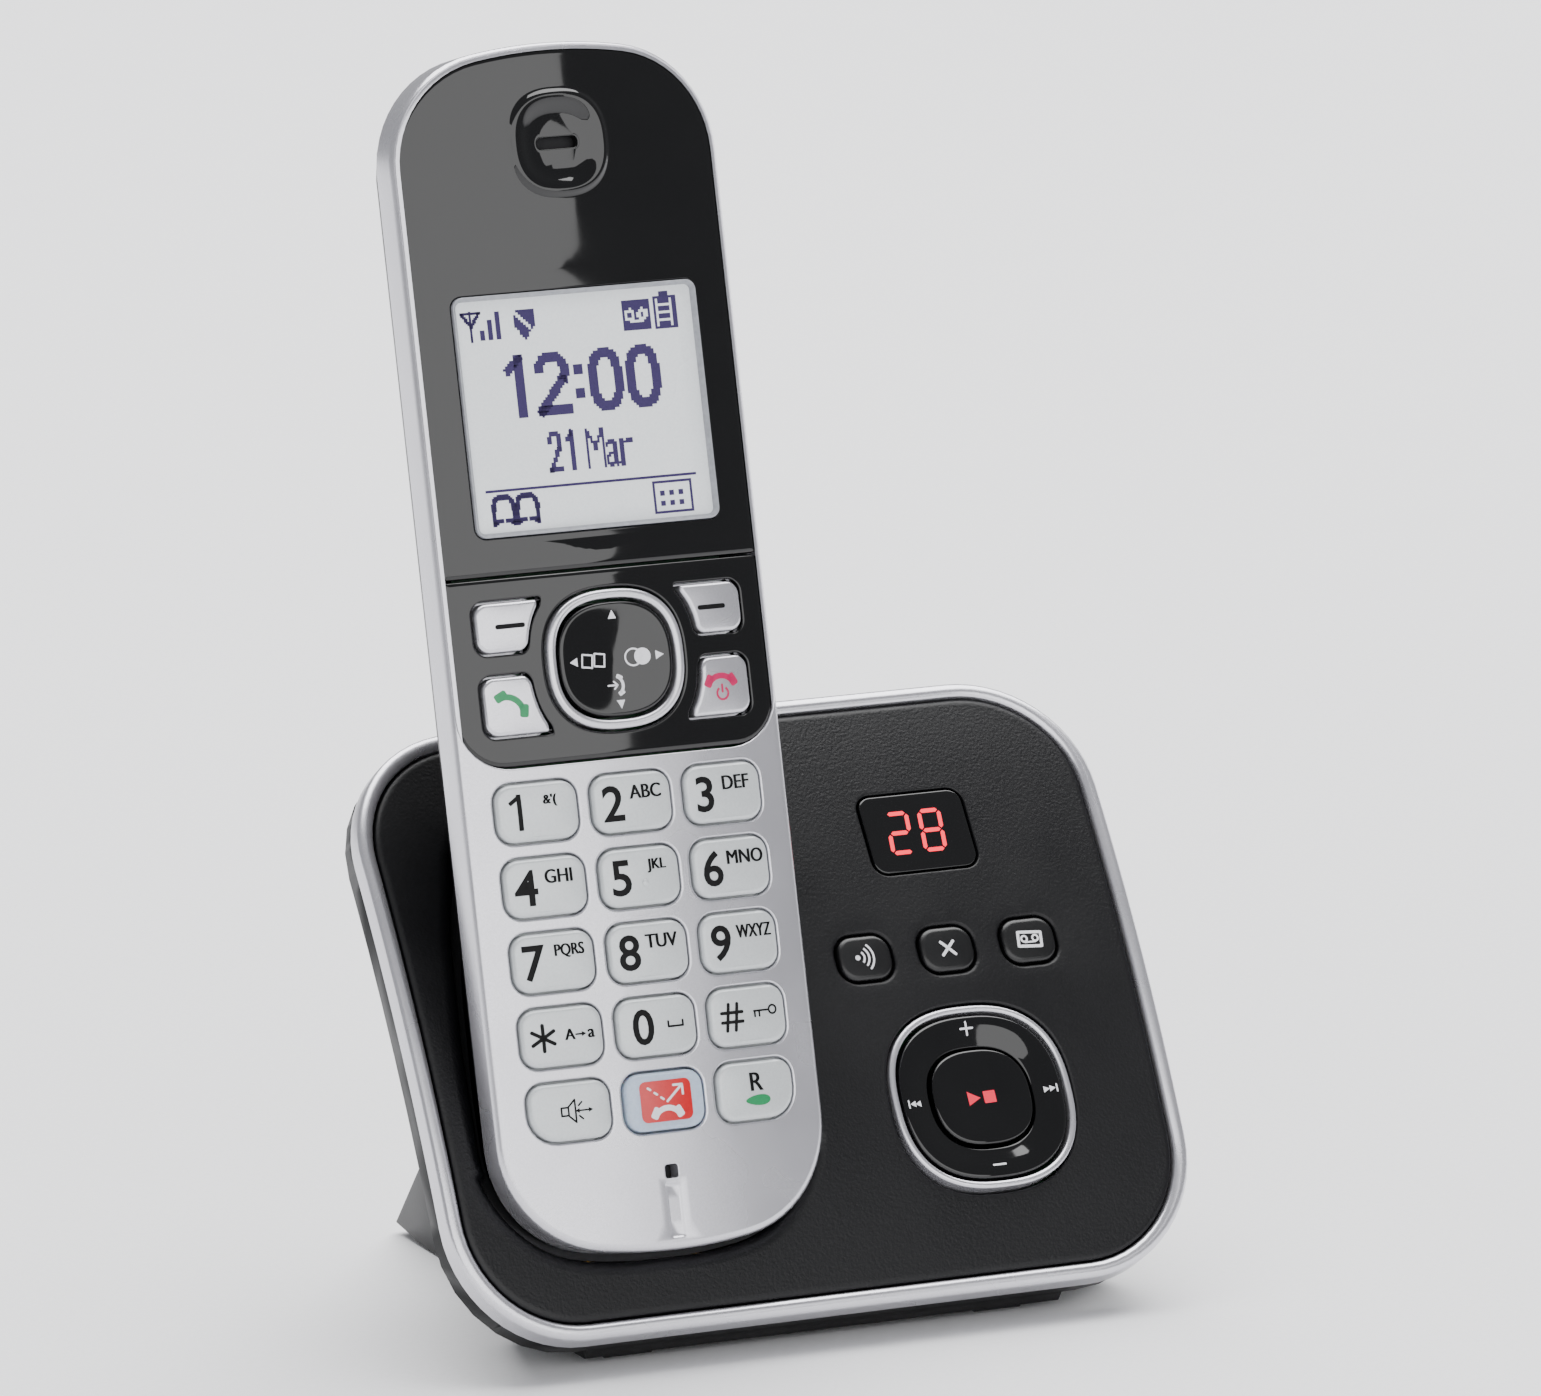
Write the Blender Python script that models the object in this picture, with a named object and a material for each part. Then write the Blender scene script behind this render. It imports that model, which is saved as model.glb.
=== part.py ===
import math

import bmesh
import bpy

# A cordless phone handset standing in a leaning answering-machine base.
# Metres, +Z up, the dial faces -Y. The handset frame has X to the right, Z up the handset and Y into it.
# The panel frame is the same for the base panel: Z runs up its slope and Y into the base.

MM = 0.001
FIT = 0.3 * MM                      # gap between two pieces that meet
WALL = 1.8 * MM

KEY_WIDTH = 11.6 * MM
KEY_HEIGHT = 7.9 * MM
KEY_GAP = 2.23 * MM                 # between keys side by side
KEY_ROW_GAP = 2.3 * MM              # between rows of keys
KEYPAD_MARGIN = 4.62 * MM           # from the outer keys to the handset's sides
KEY_CORNER = 2.3 * MM
KEY_OUTER_CORNER = 3.9 * MM         # outer lower corners of the bottom row
KEY_PITCH = KEY_WIDTH + KEY_GAP
KEY_ROW_PITCH = KEY_HEIGHT + KEY_ROW_GAP
KEY_TOP_ROW = 61.1 * MM
KEY_PROUD = 0.7 * MM
KEY_TRAVEL = 0.8 * MM
KEY_FLANGE = 0.6 * MM
FLANGE_DEPTH = 0.6 * MM
KEY_ROWS = (("key_1", "key_2", "key_3"), ("key_4", "key_5", "key_6"), ("key_7", "key_8", "key_9"),
            ("key_star", "key_0", "key_hash"), ("key_speaker", "key_block", "key_recall"))

HANDSET_LENGTH = 165.2 * MM
HANDSET_WIDTH = 3 * KEY_WIDTH + 2 * KEY_GAP + 2 * KEYPAD_MARGIN
HANDSET_THICKNESS = 25 * MM
HANDSET_CORNER = 15.5 * MM
HANDSET_SWEEP = 70 * MM             # radius of the shallow arc across each end
HANDSET_CROWN = 180 * MM            # radius of the face, side to side
HANDSET_LEAN = 15                   # degrees back from upright
FRONT_CASE_DEPTH = 7 * MM
FACE_BACK = 2.6 * MM                # inner face of the front case
REAR_STEP = 0.9 * MM                # how far the rear case stands inside the front case
REAR_SHAPE = ((0, 0), (0.27, 0.08), (0.55, 0.25), (0.78, 0.47), (0.94, 0.73), (1, 1))
REAR_INSET = 13 * MM                # how far the flat of the back is inside the rim

COVER_MARGIN = 0.95 * MM            # rim of the front case round the display cover
COVER_THICKNESS = 2 * MM
COVER_LEDGE = 1.6 * MM
COVER_BOTTOM = 93.4 * MM
PANEL_BOTTOM = 67.5 * MM            # lower edge of the navigation panel
PANEL_CORNER = 6 * MM
LENS_WIDTH = 36.2 * MM
LENS_HEIGHT = 32.9 * MM
LENS_CENTRE = 115 * MM
EARPIECE_CENTRE = HANDSET_LENGTH - 13.8 * MM
EARPIECE_SIZE = 15 * MM

RING_CENTRE = 80.7 * MM
RING_WIDTH = 20.2 * MM
RING_HEIGHT = 19.1 * MM
RING_BAND = 1.3 * MM
RING_POWER = 2.5
NAV_GAP = 0.4 * MM                  # room for the pad to tip
SIDE_KEY_OUTER = 19.7 * MM
SIDE_KEY_X = 15 * MM                # where a side key's joint acts
SIDE_KEY_PROUD = 0.5 * MM
SIDE_KEY_CLEAR = 2.6 * MM           # from the ring to the keys beside it
SOFT_KEY_SPAN = (83 * MM, 89.8 * MM)
CALL_KEY_SPAN = (71.7 * MM, 79.7 * MM)

BOARD_WIDTH = 40 * MM
RECEIVER_SIZE = 15 * MM
RECEIVER_DEPTH = 4 * MM
SPEAKER_CENTRE = 122 * MM           # the hands-free speaker behind the board
SPEAKER_SIZE = 20 * MM
SPEAKER_DEPTHS = (15 * MM, 20 * MM)
MIC_CENTRE = 10.7 * MM
MIC_HOLE = 1.9 * MM
GROOVE_WIDTH = 2.4 * MM
GROOVE_DEPTH = 0.35 * MM

CELL_DIAMETER = 10.4 * MM
CELL_LENGTH = 44.5 * MM
CELL_BOTTOM = 44 * MM
COVER_SPLIT = 0.78                  # share of the rear case's depth where the battery cover begins
BATTERY_COVER_TOP = 100 * MM
BATTERY_COVER_TRAVEL = 3.5 * MM

CHARGE_OFFSET = 8 * MM
CHARGE_DEPTH = 12 * MM
CHARGE_PLATE = 5 * MM
CHARGE_PIN = 2.4 * MM
CHARGE_PIN_LENGTH = 7 * MM
CHARGE_PIN_TRAVEL = 0.8 * MM

PANEL_WIDTH = 112 * MM
PANEL_HEIGHT = 88.4 * MM
PANEL_OUTER_CORNER = 18 * MM
PANEL_CROWN = 270 * MM
PANEL_LEAN = 32.5                   # degrees back from upright, at the middle of the panel
PANEL_THICKNESS = 2.2 * MM
TRIM_WIDTH = 2.2 * MM
TRIM_PROUD = 0.4 * MM
TRIM_DEPTH = 3.1 * MM
RIM_DEPTH = 3.6 * MM                # black body seen behind the trim
RIM_STEP = 0.5 * MM
TRIM_FOOT = 5.9 * MM                # height of the trim's lowest ridge
POCKET_MARGIN = 6.95 * MM           # from the panel's left side to the handset
HANDSET_X = POCKET_MARGIN - PANEL_WIDTH / 2 + HANDSET_WIDTH / 2
HANDSET_FOOT = 9.4 * MM              # from the panel's lower edge up to the handset
HANDSET_PROUD = 4.6 * MM
POCKET_CLEAR = 0.6 * MM
POCKET_WALL = 1.5 * MM

WINDOW = (26.9 * MM, 22.1 * MM, 15.8 * MM, 11.7 * MM)
BUTTON_ROW = 4.3 * MM
BUTTON_FIRST = 13.9 * MM
BUTTON_PITCH = 12.6 * MM
BUTTON_WIDTH = 8.2 * MM
BUTTON_HEIGHT = 6.6 * MM
BUTTON_CORNER = 2.6 * MM
DIAL_CENTRE = (26.5 * MM, -17.4 * MM)
DIAL_WIDTH = 27.2 * MM
DIAL_HEIGHT = 26.6 * MM
DIAL_BAND = 1 * MM
PLAY_WIDTH = 14.8 * MM
PLAY_HEIGHT = 13.8 * MM
BUTTON_TRAVEL = 0.6 * MM

HOUSING_DEPTH = 26 * MM             # from the panel plane to the flat back
# depth, then how far the bulge stands inside the panel at its sides, its foot and its top
HOUSING_STAGES = ((2 * MM, 5 * MM, 3.2 * MM, 5.2 * MM), (14 * MM, 8.5 * MM, 4.2 * MM, 11 * MM),
                  (HOUSING_DEPTH, 14 * MM, 6 * MM, 21 * MM))
HOUSING_CORNER = 12 * MM
SOLE = 1.2 * MM                     # height of the flat underside
FLOOR = 2 * MM
FOOT_SETBACK = 10.2 * MM            # from the trim's lowest ridge back to the front feet
FOOT_X = 28.1 * MM
FOOT_WIDTH = 7 * MM
FOOT_FLARE = 1.25 * MM
FOOT_LENGTH = 6 * MM
FOOT_SINK = 0.9 * MM                # depth of the recess that holds a foot
SOLE_HALF = 36 * MM
STAND_WIDTH = 62.4 * MM
STAND_HEEL = 62.8 * MM              # from the front feet to the stand's heel
STAND_TAIL = (10.4 * MM, 1.5 * MM)   # the stand's rear edge, behind and above its heel
STAND_ANGLE = 49.5                  # slope of the stand's back, degrees
STAND_WALL = 2.4 * MM
HEEL_LIFT = 0.2 * MM                # from the ground up to the stand's heel, which its pad holds clear
STAND_FOOT = -7 * MM                # where the stand's underside meets the housing, up the panel
BAY_X = (32.6 * MM, 50 * MM)
BAY_Z = (5 * MM, 33 * MM)
BAY_BACK = 36 * MM
LINE_PLUG = (9.6 * MM, 6.7 * MM, 11 * MM)
POWER_BORE = 6.2 * MM
POWER_PIN = 1.7 * MM

CORNER_STEPS = 5
END_STEPS = 8
CROWN_STEPS = 12


# Outlines, as (x, z) points running anticlockwise seen from the front.

def arc(x, z, radius, start, end, steps):
    angles = [start + (end - start) * i / steps for i in range(steps + 1)]
    return [(x + radius * math.cos(a), z + radius * math.sin(a)) for a in angles]


def end_points(half, end, corner, sweep):
    """A lower end from its left side to its right: a corner, a shallow arc and a corner."""
    across = half - corner
    rise = math.sqrt((sweep - corner) ** 2 - across ** 2)
    tilt = math.atan2(rise, across)
    middle = end + sweep
    points = arc(-across, middle - rise, corner, math.pi, math.pi + tilt, CORNER_STEPS)
    points += arc(0, middle, sweep, math.pi + tilt, 2 * math.pi - tilt, END_STEPS)[1:-1]
    return points + arc(across, middle - rise, corner, 2 * math.pi - tilt, 2 * math.pi, CORNER_STEPS)


def handset_outline(inset, bottom=0.0, top=HANDSET_LENGTH):
    half = HANDSET_WIDTH / 2 - inset
    corner = max(HANDSET_CORNER - inset, 2 * MM)
    low = end_points(half, bottom + inset, corner, HANDSET_SWEEP - inset)
    high = end_points(half, inset, corner, HANDSET_SWEEP - inset)
    return low + [(-x, top - z) for x, z in high]


def pocket_outline(inset, drop, top):
    half = HANDSET_WIDTH / 2 - inset
    low = end_points(half, inset - drop, max(HANDSET_CORNER - inset, 2 * MM), HANDSET_SWEEP - inset)
    return low + [(half, top), (-half, top)]


def rectangle(x, z, width, height, corner, steps=4, low_left=None, low_right=None):
    radii = (low_left or corner, low_right or corner, corner, corner)
    signs = ((-1, -1), (1, -1), (1, 1), (-1, 1))
    points = []
    for i, ((sx, sz), radius) in enumerate(zip(signs, radii)):
        start = math.pi * (1 + i / 2)
        centre = (x + sx * (width / 2 - radius), z + sz * (height / 2 - radius))
        points += arc(*centre, radius, start, start + math.pi / 2, steps)
    return points


def squircle(x, z, width, height, count=36):
    points = []
    for i in range(count):
        c = math.cos(2 * math.pi * i / count)
        s = math.sin(2 * math.pi * i / count)
        px = math.copysign(abs(c) ** (2 / RING_POWER), c)
        pz = math.copysign(abs(s) ** (2 / RING_POWER), s)
        points.append((x + width / 2 * px, z + height / 2 * pz))
    return points


def circle(x, z, diameter, count=24):
    return arc(x, z, diameter / 2, 0, 2 * math.pi, count)[:-1]


def side_key_outline(side, span, grow=0.0):
    """A key beside the ring: straight outside, hollowed inside so that it follows the ring."""
    low, high = span[0] - grow, span[1] + grow
    outer = SIDE_KEY_OUTER + grow
    reach_x = RING_WIDTH / 2 + SIDE_KEY_CLEAR - grow
    reach_z = RING_HEIGHT / 2 + SIDE_KEY_CLEAR + 0.3 * MM - grow
    inner = []
    for i in range(7):
        z = low + (high - low) * i / 6
        share = min(abs(z - RING_CENTRE) / reach_z, 0.96)
        inner.append((reach_x * (1 - share ** RING_POWER) ** (1 / RING_POWER), z))
    cut = 1.1 * MM
    outline = [(outer - cut, high), (inner[-1][0] + 0.7 * MM, high)] + inner[-2:0:-1]
    outline += [(inner[0][0] + 0.7 * MM, low), (outer - cut, low), (outer, low + cut), (outer, high - cut)]
    return [(side * x, z) for x, z in outline][::side]


# Solids.

def mesh_object(name, points, faces):
    mesh = bpy.data.meshes.new(name)
    bm = bmesh.new()
    verts = [bm.verts.new(point) for point in points]
    for face in faces:
        bm.faces.new([verts[i] for i in face])
    bmesh.ops.recalc_face_normals(bm, faces=bm.faces)
    bm.to_mesh(mesh)
    bm.free()
    obj = bpy.data.objects.new(name, mesh)
    bpy.context.scene.collection.objects.link(obj)
    return obj


def loft(name, rings):
    """A solid through closed rings of equally many (x, y, z) points, with a cap on each end."""
    count = len(rings[0])
    faces = [list(range(count)), [len(rings) * count - 1 - i for i in range(count)]]
    for low in range(0, (len(rings) - 1) * count, count):
        for i in range(count):
            j = (i + 1) % count
            faces.append([low + i, low + j, low + count + j, low + count + i])
    return mesh_object(name, [point for ring in rings for point in ring], faces)


def at_depth(outline, depth):
    return [(x, depth, z) for x, z in outline]


def prism(name, outline, front, back):
    return loft(name, [at_depth(outline, front), at_depth(outline, back)])


def side_prism(name, profile, left, right):
    """A (y, z) profile run across from left to right."""
    return loft(name, [[(x, y, z) for y, z in profile] for x in (left, right)])


def box(name, low, high):
    profile = [(low[1], low[2]), (high[1], low[2]), (high[1], high[2]), (low[1], high[2])]
    return side_prism(name, profile, low[0], high[0])


def face_drop(x):
    """How far the crowned handset face falls away at x."""
    return x * x / (2 * HANDSET_CROWN)


def panel_drop(z):
    return z * z / (2 * PANEL_CROWN)


def handset_slab(name, front, back, crowned_back=False):
    reach = HANDSET_WIDTH / 2 + 2 * MM
    xs = [reach * (2 * i / CROWN_STEPS - 1) for i in range(CROWN_STEPS + 1)]
    profile = [(x, front + face_drop(x)) for x in xs]
    profile += [(x, back + (face_drop(x) if crowned_back else 0)) for x in reversed(xs)]
    spans = (-5 * MM, HANDSET_LENGTH + 5 * MM)
    return loft(name, [[(x, y, z) for x, y in profile] for z in spans])


def panel_slab(name, front, back):
    reach = PANEL_HEIGHT / 2 + 3 * MM
    zs = [reach * (2 * i / CROWN_STEPS - 1) for i in range(CROWN_STEPS + 1)]
    profile = [(front + panel_drop(z), z) for z in zs] + [(back + panel_drop(z), z) for z in reversed(zs)]
    return side_prism(name, profile, -PANEL_WIDTH / 2 - 2 * MM, PANEL_WIDTH / 2 + 2 * MM)


def combine(obj, operation, *others):
    for other in others:
        modifier = obj.modifiers.new(operation.lower(), "BOOLEAN")
        modifier.operation = operation
        modifier.solver = "EXACT"
        modifier.object = other
        other.hide_render = True
        other.display_type = "WIRE"
    return obj


def cut(obj, *others):
    return combine(obj, "DIFFERENCE", *others)


def keep(obj, *others):
    return combine(obj, "INTERSECT", *others)


def add(obj, *others):
    return combine(obj, "UNION", *others)


def paint(obj, finish):
    name, colour, roughness, metallic = finish
    material = bpy.data.materials.get(name) or bpy.data.materials.new(name)
    material.use_nodes = True
    shader = material.node_tree.nodes["Principled BSDF"]
    shader.inputs["Base Color"].default_value = (*colour, 1)
    shader.inputs["Roughness"].default_value = roughness
    shader.inputs["Metallic"].default_value = metallic
    obj.data.materials.append(material)


SILVER = ("silver_paint", (0.66, 0.65, 0.67), 0.35, 0.6)
GLOSS = ("gloss_black", (0.01, 0.01, 0.012), 0.08, 0)
DARK = ("dark_case", (0.02, 0.02, 0.024), 0.5, 0)
KEY_GREY = ("key_grey", (0.6, 0.62, 0.63), 0.4, 0)
KEY_RED = ("key_red", (0.55, 0.03, 0.03), 0.35, 0)
RUBBER = ("black_rubber", (0.03, 0.03, 0.03), 0.8, 0)
SILICONE = ("grey_silicone", (0.45, 0.46, 0.47), 0.7, 0)
BOARD = ("green_board", (0.02, 0.16, 0.06), 0.5, 0)
GLASS = ("display_glass", (0.83, 0.86, 0.87), 0.15, 0)
METAL = ("plated_steel", (0.7, 0.68, 0.6), 0.25, 1)
CELL = ("cell_jacket", (0.1, 0.25, 0.5), 0.4, 0.2)
LED = ("led_lens", (0.08, 0.0, 0.0), 0.1, 0)


def settle(obj, frame):
    """Puts a solid and the helpers that shape it in a frame, apart from those that already have one."""
    obj.parent = obj.parent or frame
    for modifier in obj.modifiers:
        settle(modifier.object, frame)


def finish_node(obj, frame, finish, origin=None, smooth=False):
    """Gives a node its frame and finish, and moves its origin to its joint."""
    settle(obj, frame)
    if origin:
        obj.location = origin
        for vertex in obj.data.vertices:
            vertex.co = [vertex.co[i] - origin[i] for i in range(3)]
    if smooth:
        obj.data.shade_smooth()
        obj.data.set_sharp_from_angle(angle=math.radians(35))
    paint(obj, finish)
    return obj


def grown(outline, amount):
    """The outline moved outward by amount along each corner's bisector."""
    count = len(outline)
    moved = []
    for i, (x, z) in enumerate(outline):
        ax, az = outline[i - 1]
        bx, bz = outline[(i + 1) % count]
        first = math.hypot(x - ax, z - az) or 1
        second = math.hypot(bx - x, bz - z) or 1
        nx = (z - az) / first + (bz - z) / second
        nz = -(x - ax) / first - (bx - x) / second
        size = (nx * nx + nz * nz) / 2 or 1
        moved.append((x + amount * nx / size, z + amount * nz / size))
    return moved


def key_solid(name, outline, drop, proud, back, flange):
    """A cap whose top follows the face that it stands in, and a flange that keeps it in its hole."""
    def top(points, lift):
        return [(x, drop(x, z) - lift, z) for x, z in points]
    edge = 0.4 * MM
    wide = grown(outline, flange)
    rings = [at_depth(wide, back), at_depth(wide, back - FLANGE_DEPTH), at_depth(outline, back - FLANGE_DEPTH)]
    rings += [top(outline, proud - edge), top(grown(outline, -edge), proud)]
    return loft(name, rings)


# Handset.

def rear_inset(share):
    for (low, low_inset), (high, high_inset) in zip(REAR_SHAPE, REAR_SHAPE[1:]):
        if share <= high:
            return REAR_STEP + REAR_INSET * (low_inset + (high_inset - low_inset) * (share - low) / (high - low))
    return REAR_STEP + REAR_INSET


def rear_depth(share):
    start = FRONT_CASE_DEPTH + FIT
    return start + (HANDSET_THICKNESS - start) * share


def rear_solid(name, wall, shares):
    """The rear case's outer shape, or its hollow where wall is more than nothing."""
    rings = []
    for share in shares:
        depth = rear_depth(share) - (wall if share else 0)
        rings.append(at_depth(handset_outline(rear_inset(share) + wall), depth))
    return loft(name, rings)


def cover_outline(inset):
    """The area of the display cover and navigation panel together."""
    edge = COVER_MARGIN + inset
    half = HANDSET_WIDTH / 2 - edge
    low = rectangle(0, 0, 2 * half, 20 * MM, PANEL_CORNER - inset, CORNER_STEPS)[:2 * CORNER_STEPS + 2]
    low = [(x, z + 10 * MM + PANEL_BOTTOM + inset) for x, z in low]
    high = end_points(half, edge, HANDSET_CORNER - edge, HANDSET_SWEEP - edge)
    return low + [(-x, HANDSET_LENGTH - z) for x, z in high]


def key_hole(name, outline):
    return prism(name, grown(outline, FIT), -5 * MM, 6 * MM)


def keypad_keys():
    """Each dial key's name, outline and centre."""
    keys = []
    for row, names in enumerate(KEY_ROWS):
        for column, name in enumerate(names):
            x = (column - 1) * KEY_PITCH
            z = KEY_TOP_ROW - row * KEY_ROW_PITCH
            low = row == len(KEY_ROWS) - 1
            left = KEY_OUTER_CORNER if low and column == 0 else None
            right = KEY_OUTER_CORNER if low and column == 2 else None
            outline = rectangle(x, z, KEY_WIDTH, KEY_HEIGHT, KEY_CORNER, 3, left, right)
            keys.append((name, outline, (x, 0, z)))
    return keys


def side_keys():
    return (("soft_key_left", side_key_outline(-1, SOFT_KEY_SPAN), (-SIDE_KEY_X, 0, sum(SOFT_KEY_SPAN) / 2)),
            ("soft_key_right", side_key_outline(1, SOFT_KEY_SPAN), (SIDE_KEY_X, 0, sum(SOFT_KEY_SPAN) / 2)),
            ("talk_key", side_key_outline(-1, CALL_KEY_SPAN), (-SIDE_KEY_X, 0, sum(CALL_KEY_SPAN) / 2)),
            ("off_key", side_key_outline(1, CALL_KEY_SPAN), (SIDE_KEY_X, 0, sum(CALL_KEY_SPAN) / 2)))


def make_front_case(frame):
    outer = prism("handset_front_case", handset_outline(0), -3 * MM, FRONT_CASE_DEPTH)
    keep(outer, handset_slab("front_crown", 0, FRONT_CASE_DEPTH))
    cut(outer, prism("front_hollow", handset_outline(WALL), FACE_BACK, FRONT_CASE_DEPTH + 3 * MM))
    cut(outer, prism("cover_opening", cover_outline(COVER_LEDGE), -5 * MM, FACE_BACK + 3 * MM))
    recess = prism("cover_recess", cover_outline(-FIT), -5 * MM, 6 * MM)
    keep(recess, handset_slab("recess_depth", -5 * MM, COVER_THICKNESS + FIT, True))
    cut(outer, recess)
    for name, outline, _ in keypad_keys():
        cut(outer, key_hole(name + "_hole", outline))
    cut(outer, prism("mic_hole", rectangle(0, MIC_CENTRE, MIC_HOLE, MIC_HOLE, 0.4 * MM, 2), -5 * MM, 5 * MM))
    groove = rectangle(0, MIC_CENTRE / 2 - 2 * MM, GROOVE_WIDTH, MIC_CENTRE + 2 * MM, 0.6 * MM, 2)
    cut(outer, prism("mic_groove", groove, -5 * MM, GROOVE_DEPTH))
    finish_node(outer, frame, SILVER)


def make_rear_case(frame):
    shares = [share for share, _ in REAR_SHAPE]
    outer = rear_solid("handset_rear_case", 0, shares)
    hollow = rear_solid("rear_hollow", WALL, shares)
    mouth = prism("rear_mouth", handset_outline(REAR_STEP + WALL), 0, rear_depth(0) + FIT)
    split = rear_depth(COVER_SPLIT)
    lid = box("lid_space", (-HANDSET_WIDTH, split, -5 * MM), (HANDSET_WIDTH, 40 * MM, BATTERY_COVER_TOP + FIT))
    cut(outer, hollow, mouth, lid)
    for side in (-1, 1):
        cut(outer, charge_plate_box("plate_seat", side, FIT))
    finish_node(outer, frame, DARK, smooth=True)


def make_battery_cover(frame):
    shares = [share for share, _ in REAR_SHAPE]
    outer = rear_solid("battery_cover", 0, shares)
    low = rear_depth(COVER_SPLIT) + FIT
    keep(outer, box("cover_space", (-HANDSET_WIDTH, low, -5 * MM), (HANDSET_WIDTH, 40 * MM, BATTERY_COVER_TOP)))
    cut(outer, rear_solid("cover_hollow", WALL, shares))
    finish_node(outer, frame, DARK, (0, HANDSET_THICKNESS, CELL_BOTTOM))


def charge_plate_box(name, side, grow):
    """A charging plate or, where grow is more than nothing, the open seat that it sits up inside."""
    x = side * CHARGE_OFFSET
    half = CHARGE_PLATE / 2 + grow
    front = CHARGE_DEPTH - grow
    back = CHARGE_DEPTH + 4 * MM + grow
    low = charge_height()
    bottom = low - 6 * MM if grow else low
    return box(name, (x - half, front, bottom), (x + half, back, low + 1.2 * MM + grow))


def charge_height():
    """Where the rear case's lower end reaches at the charging plates."""
    share = (CHARGE_DEPTH + 4 * MM - rear_depth(0)) / (HANDSET_THICKNESS - rear_depth(0))
    return rear_inset(share) + CHARGE_OFFSET ** 2 / (2 * HANDSET_SWEEP) - 0.2 * MM


def make_charge_plates(frame):
    for side, word in ((-1, "left"), (1, "right")):
        finish_node(charge_plate_box("charge_plate_" + word, side, 0), frame, METAL)


def make_display(frame):
    cover = prism("display_cover", cover_outline(0), -3 * MM, 6 * MM)
    keep(cover, handset_slab("cover_crown", 0, COVER_THICKNESS, True))
    above = box("above_seam", (-40 * MM, -9 * MM, COVER_BOTTOM), (40 * MM, 9 * MM, HANDSET_LENGTH + 9 * MM))
    keep(cover, above)
    add(cover, prism("earpiece_boss", squircle(0, EARPIECE_CENTRE, EARPIECE_SIZE, EARPIECE_SIZE), -0.5 * MM, 1 * MM))
    dish = EARPIECE_SIZE - 5 * MM
    cut(cover, prism("earpiece_dish", squircle(0, EARPIECE_CENTRE, dish, dish), -3 * MM, 0.5 * MM))
    slot = rectangle(0, EARPIECE_CENTRE, 6 * MM, 1.6 * MM, 0.7 * MM, 2)
    cut(cover, prism("earpiece_slot", slot, -3 * MM, 6 * MM))
    lens = rectangle(0, LENS_CENTRE, LENS_WIDTH, LENS_HEIGHT, 1.5 * MM, 3)
    cut(cover, prism("lens_opening", lens, -3 * MM, 6 * MM))
    finish_node(cover, frame, GLOSS)
    inner = rectangle(0, LENS_CENTRE, LENS_WIDTH - 2 * FIT, LENS_HEIGHT - 2 * FIT, 1.2 * MM, 3)
    back = rectangle(0, LENS_CENTRE, LENS_WIDTH + 2 * MM, LENS_HEIGHT + 6 * MM, 1 * MM, 3)
    rear = COVER_THICKNESS + face_drop(LENS_WIDTH / 2 + 1 * MM) + FIT
    module = loft("display_module", [at_depth(inner, 1.1 * MM), at_depth(inner, rear), at_depth(back, rear),
                                     at_depth(back, rear + 2 * MM)])
    finish_node(module, frame, GLASS)


def make_navigation(frame):
    panel = prism("navigation_panel", cover_outline(0), -3 * MM, 6 * MM)
    keep(panel, handset_slab("panel_crown", 0, COVER_THICKNESS, True))
    keep(panel, box("below_seam", (-40 * MM, -9 * MM, 0), (40 * MM, 9 * MM, COVER_BOTTOM - FIT)))
    cut(panel, key_hole("ring_hole", squircle(0, RING_CENTRE, RING_WIDTH, RING_HEIGHT)))
    for name, outline, _ in side_keys():
        cut(panel, key_hole(name + "_hole", outline))
    finish_node(panel, frame, GLOSS)
    make_ring(frame, "navigator_ring", (0, RING_CENTRE), (RING_WIDTH, RING_HEIGHT), RING_BAND, 0)
    inner = (RING_WIDTH - 2 * RING_BAND - 2 * NAV_GAP, RING_HEIGHT - 2 * RING_BAND - 2 * NAV_GAP)
    back = 3.2 * MM
    key = key_solid("navigator_key", squircle(0, RING_CENTRE, *inner, 28), lambda x, z: 0, 0.4 * MM, back, 0)
    pivot_depth = back + FIT + 0.4 * MM
    origin = (0, pivot_depth, RING_CENTRE)
    finish_node(key, frame, GLOSS, origin)
    plate = prism("navigator_pivot", circle(0, RING_CENTRE, 8 * MM, 16), back + FIT, back + FIT + 0.8 * MM)
    finish_node(plate, frame, DARK, origin)


def make_ring(frame, name, centre, size, band, drop):
    """The bright band that a four-way key stands in."""
    ring = prism(name, squircle(*centre, *size), drop - 0.5 * MM, drop + 3 * MM)
    inner = [side - 2 * band for side in size]
    cut(ring, prism(name + "_opening", squircle(*centre, *inner), drop - 5 * MM, drop + 9 * MM))
    finish_node(ring, frame, SILVER)


def handset_drop(x, z):
    return face_drop(x)


def make_keys(frame):
    back = FACE_BACK + FIT + FLANGE_DEPTH
    for name, outline, centre in keypad_keys():
        key = key_solid(name, outline, handset_drop, KEY_PROUD, back, KEY_FLANGE)
        finish_node(key, frame, KEY_RED if name == "key_block" else KEY_GREY, centre)
    back = COVER_THICKNESS + face_drop(SIDE_KEY_OUTER) + FIT + FLANGE_DEPTH
    for name, outline, centre in side_keys():
        finish_node(key_solid(name, outline, handset_drop, SIDE_KEY_PROUD, back, 0.25 * MM), frame, KEY_GREY, centre)


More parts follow.
